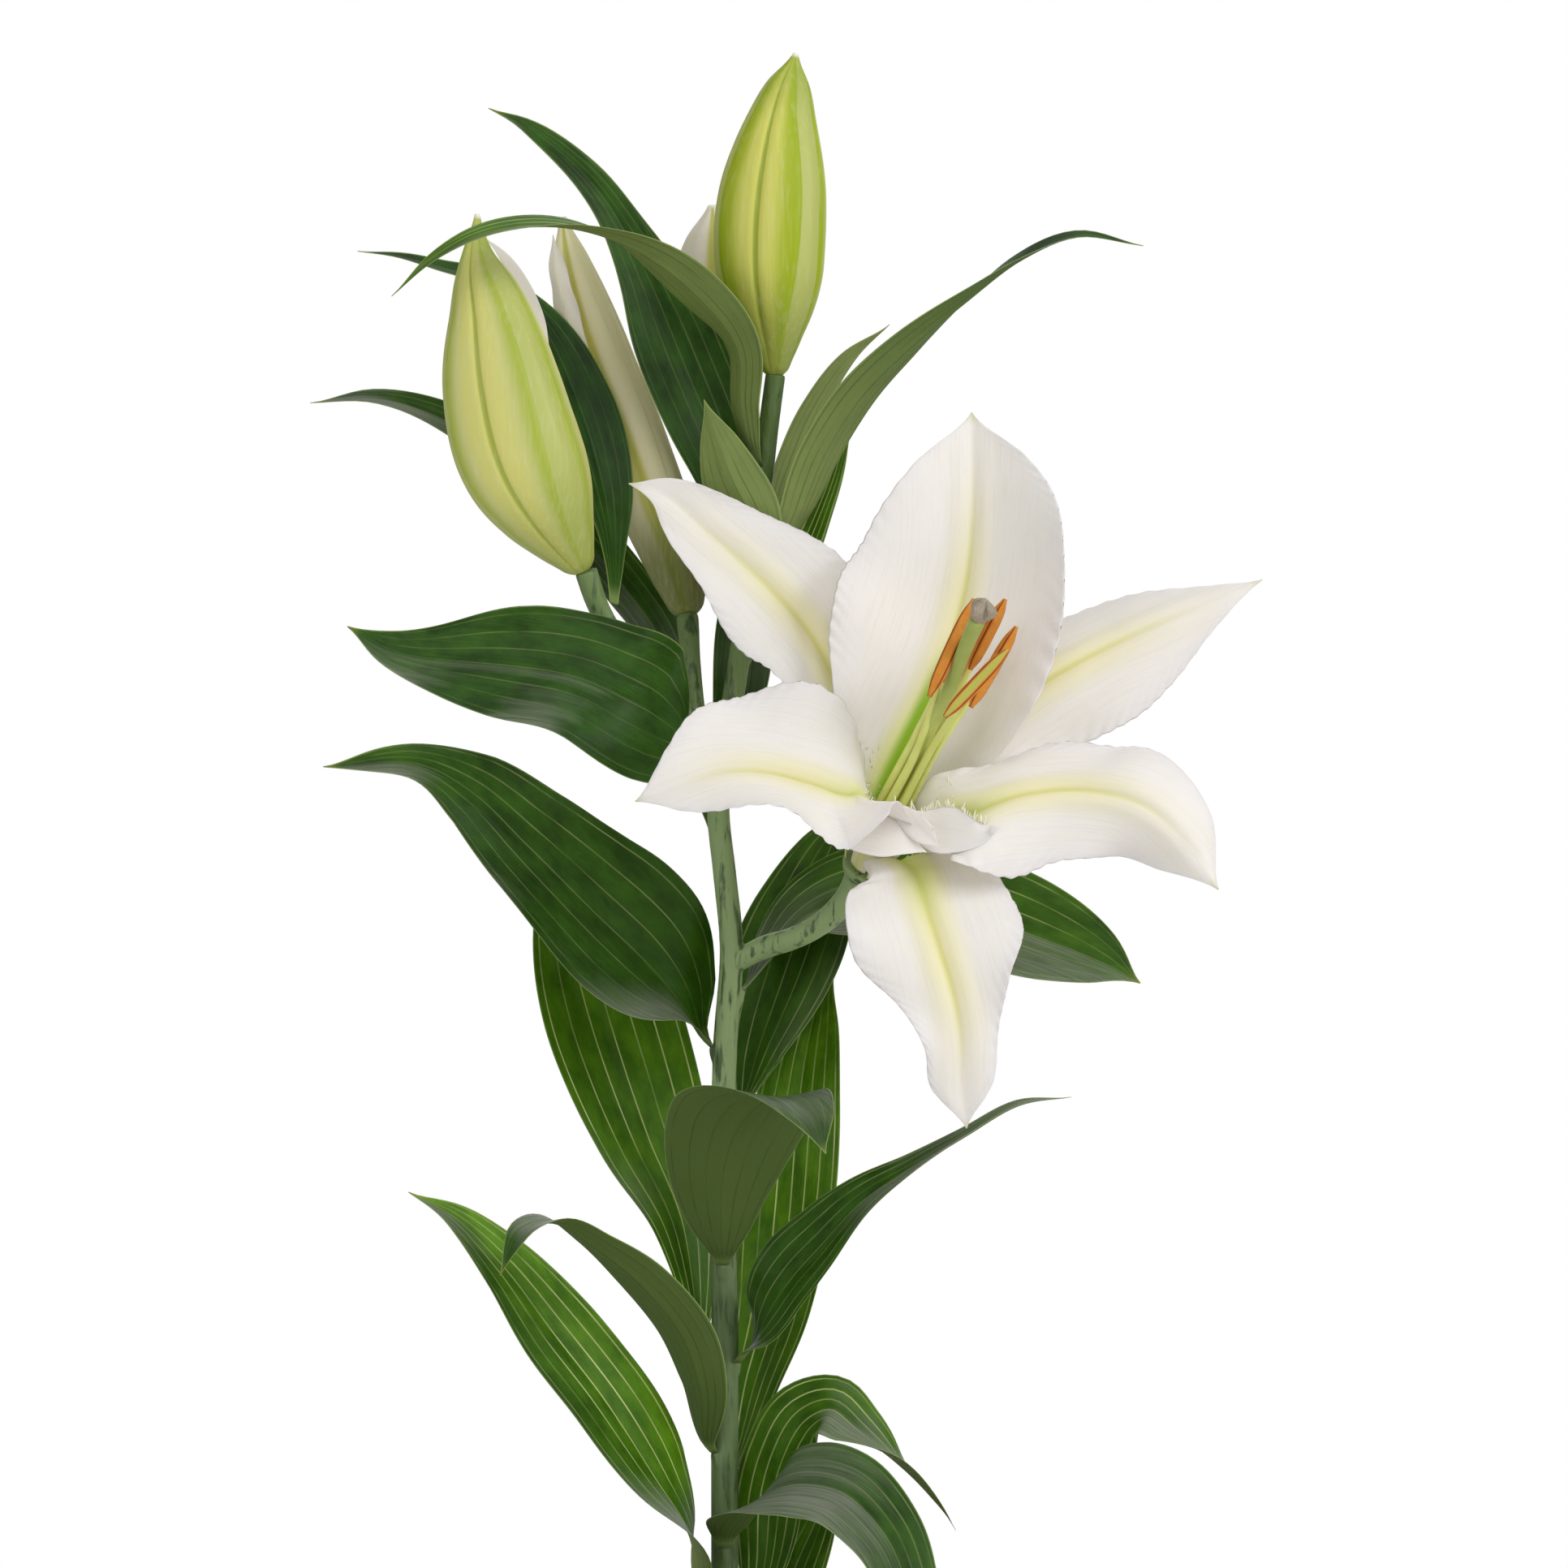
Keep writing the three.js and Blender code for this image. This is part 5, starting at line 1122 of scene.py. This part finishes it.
flat = lambda t, angle, r: 1 + 0.15 * np.cos(2 * angle)
SHOWN_STRIP = 4  # the one anther whose strip faces the viewer
for k, (turn, top_end, low_end, faces) in enumerate(ANTHERS, 1):
    top_end, low_end = np.array(top_end, float), np.array(low_end, float)
    middle, lengthwise = (top_end + low_end) / 2, unit(top_end - low_end)
    bend = FILAMENT_BEND + spoke(turn) * 3.6
    homewards = unit(bend - middle)
    behind = square(np.array((0, 1.0, 0)), lengthwise)
    seat = middle + behind * (ANTHER_RADIUS + GAP + FILAMENT_TIP)
    approach = seat + behind * 1.5 + homewards * 7
    line = [on_tube(0.5, turn, 3.5), on_tube(16, turn, 3.9), bend, approach, seat]
    thread = tube(line, [1.2, 1.25, 1.05, 0.65], sides=14, rings=50, side=(0, 0, 1), relief=flat)
    piece(f"filament_{k}_thread", [thread], green_flesh, "filament", f"filament_{k}")
    bow = [top_end, middle + behind * 0.6, low_end]
    sac = tube(bow, [0.7, 1.75, 2.15, 2.2, 2.2, 2.1, 1.8, 0.8], sides=48, rings=30, side=faces, relief=sacs)
    growth = sac["marks"]["growth"]
    growth[:, 0] = 1 - np.abs(growth[:, 0])
    growth[:, 2] = 1 if k == SHOWN_STRIP else 0.1
    piece(f"anther_{k}_sacs", [sac], pollen, "anther", f"anther_{k}")

# The studio: a round pale floor, a white room, and five soft lights: right, left, front, back and overhead.
# The camera is level with the bloom's foot, two metres in front, with a long lens, as in the photograph.
FLOOR, FLOOR_TOP = 1600, -0.05  # millimetres
outline = [(0.5, -6), (FLOOR, -6), (FLOOR + 4, -4), (FLOOR, FLOOR_TOP), (0.5, FLOOR_TOP)]
disc = skin(turned(outline, segments=96, step=200))
ground = bpy.data.meshes.new("floor")
faces = [face for part in disc["faces"] for face in part.tolist()]
ground.from_pydata((disc["points"] * MM).tolist(), [], faces)
card = material("pale_studio_card", {"Specular IOR Level": 0.2})
spot = add(card, "TexCoord", {}, "Object")
fine = add(card, "TexNoise", {"Vector": spot, "Scale": 60, "Detail": 3})
dress(card, tinted(card, "#efeeec", ("#f6f5f3", fine)), (fine, 0.85, 0.95))
ground.materials.append(card)
floor_object = bpy.data.objects.new("floor", ground)
bpy.context.scene.collection.objects.link(floor_object)

# The camera sees the room white, and the plant gets about a quarter of that light from it.
room = bpy.data.worlds.new("white_room")
room.use_nodes = True
seen = add(room, "LightPath", {}, "Is Camera Ray")
strength = add(room, "MapRange", {0: seen, 3: 0.28, 4: 1.0})
backdrop = room.node_tree.nodes["Background"]
backdrop.inputs["Color"].default_value = (1, 1, 1, 1)
room.node_tree.links.new(strength, backdrop.inputs["Strength"])
bpy.context.scene.world = room

# name, place and aim in metres, side of the square lamp in metres, watts
for name, at, aim, size, power in (
    ("right", (1.7, -1.1, 1.2), (0, 0, 0.45), 1.2, 20),
    ("left", (-1.3, -1.5, 0.9), (0, 0, 0.42), 1.2, 8),
    ("front", (0.2, -1.9, 1.7), (0, 0, 0.42), 1.4, 11),
    ("back", (0.2, 1.5, 1.1), (0, 0, 0.4), 1.8, 10),
    ("top", (0.2, 0.1, 2.4), (0, 0, 0.4), 1.3, 8),
):
    lamp = bpy.data.lights.new(name, "AREA")
    lamp.size, lamp.energy = size, power
    light = bpy.data.objects.new(name, lamp)
    light.location = at
    light.visible_camera = False
    light.rotation_euler = (Vector(aim) - Vector(at)).to_track_quat("-Z", "Y").to_euler()
    bpy.context.scene.collection.objects.link(light)

eye = bpy.data.objects.new("camera", bpy.data.cameras.new("camera"))
eye.data.sensor_width, eye.data.lens = 36, 155.3
eye.data.clip_end = 50
eye.location = (0.0175, -2.0, 0.447)
eye.rotation_euler = (np.pi / 2, 0, 0)
bpy.context.scene.collection.objects.link(eye)
bpy.context.scene.camera = eye
bpy.context.scene.view_settings.view_transform = "Standard"
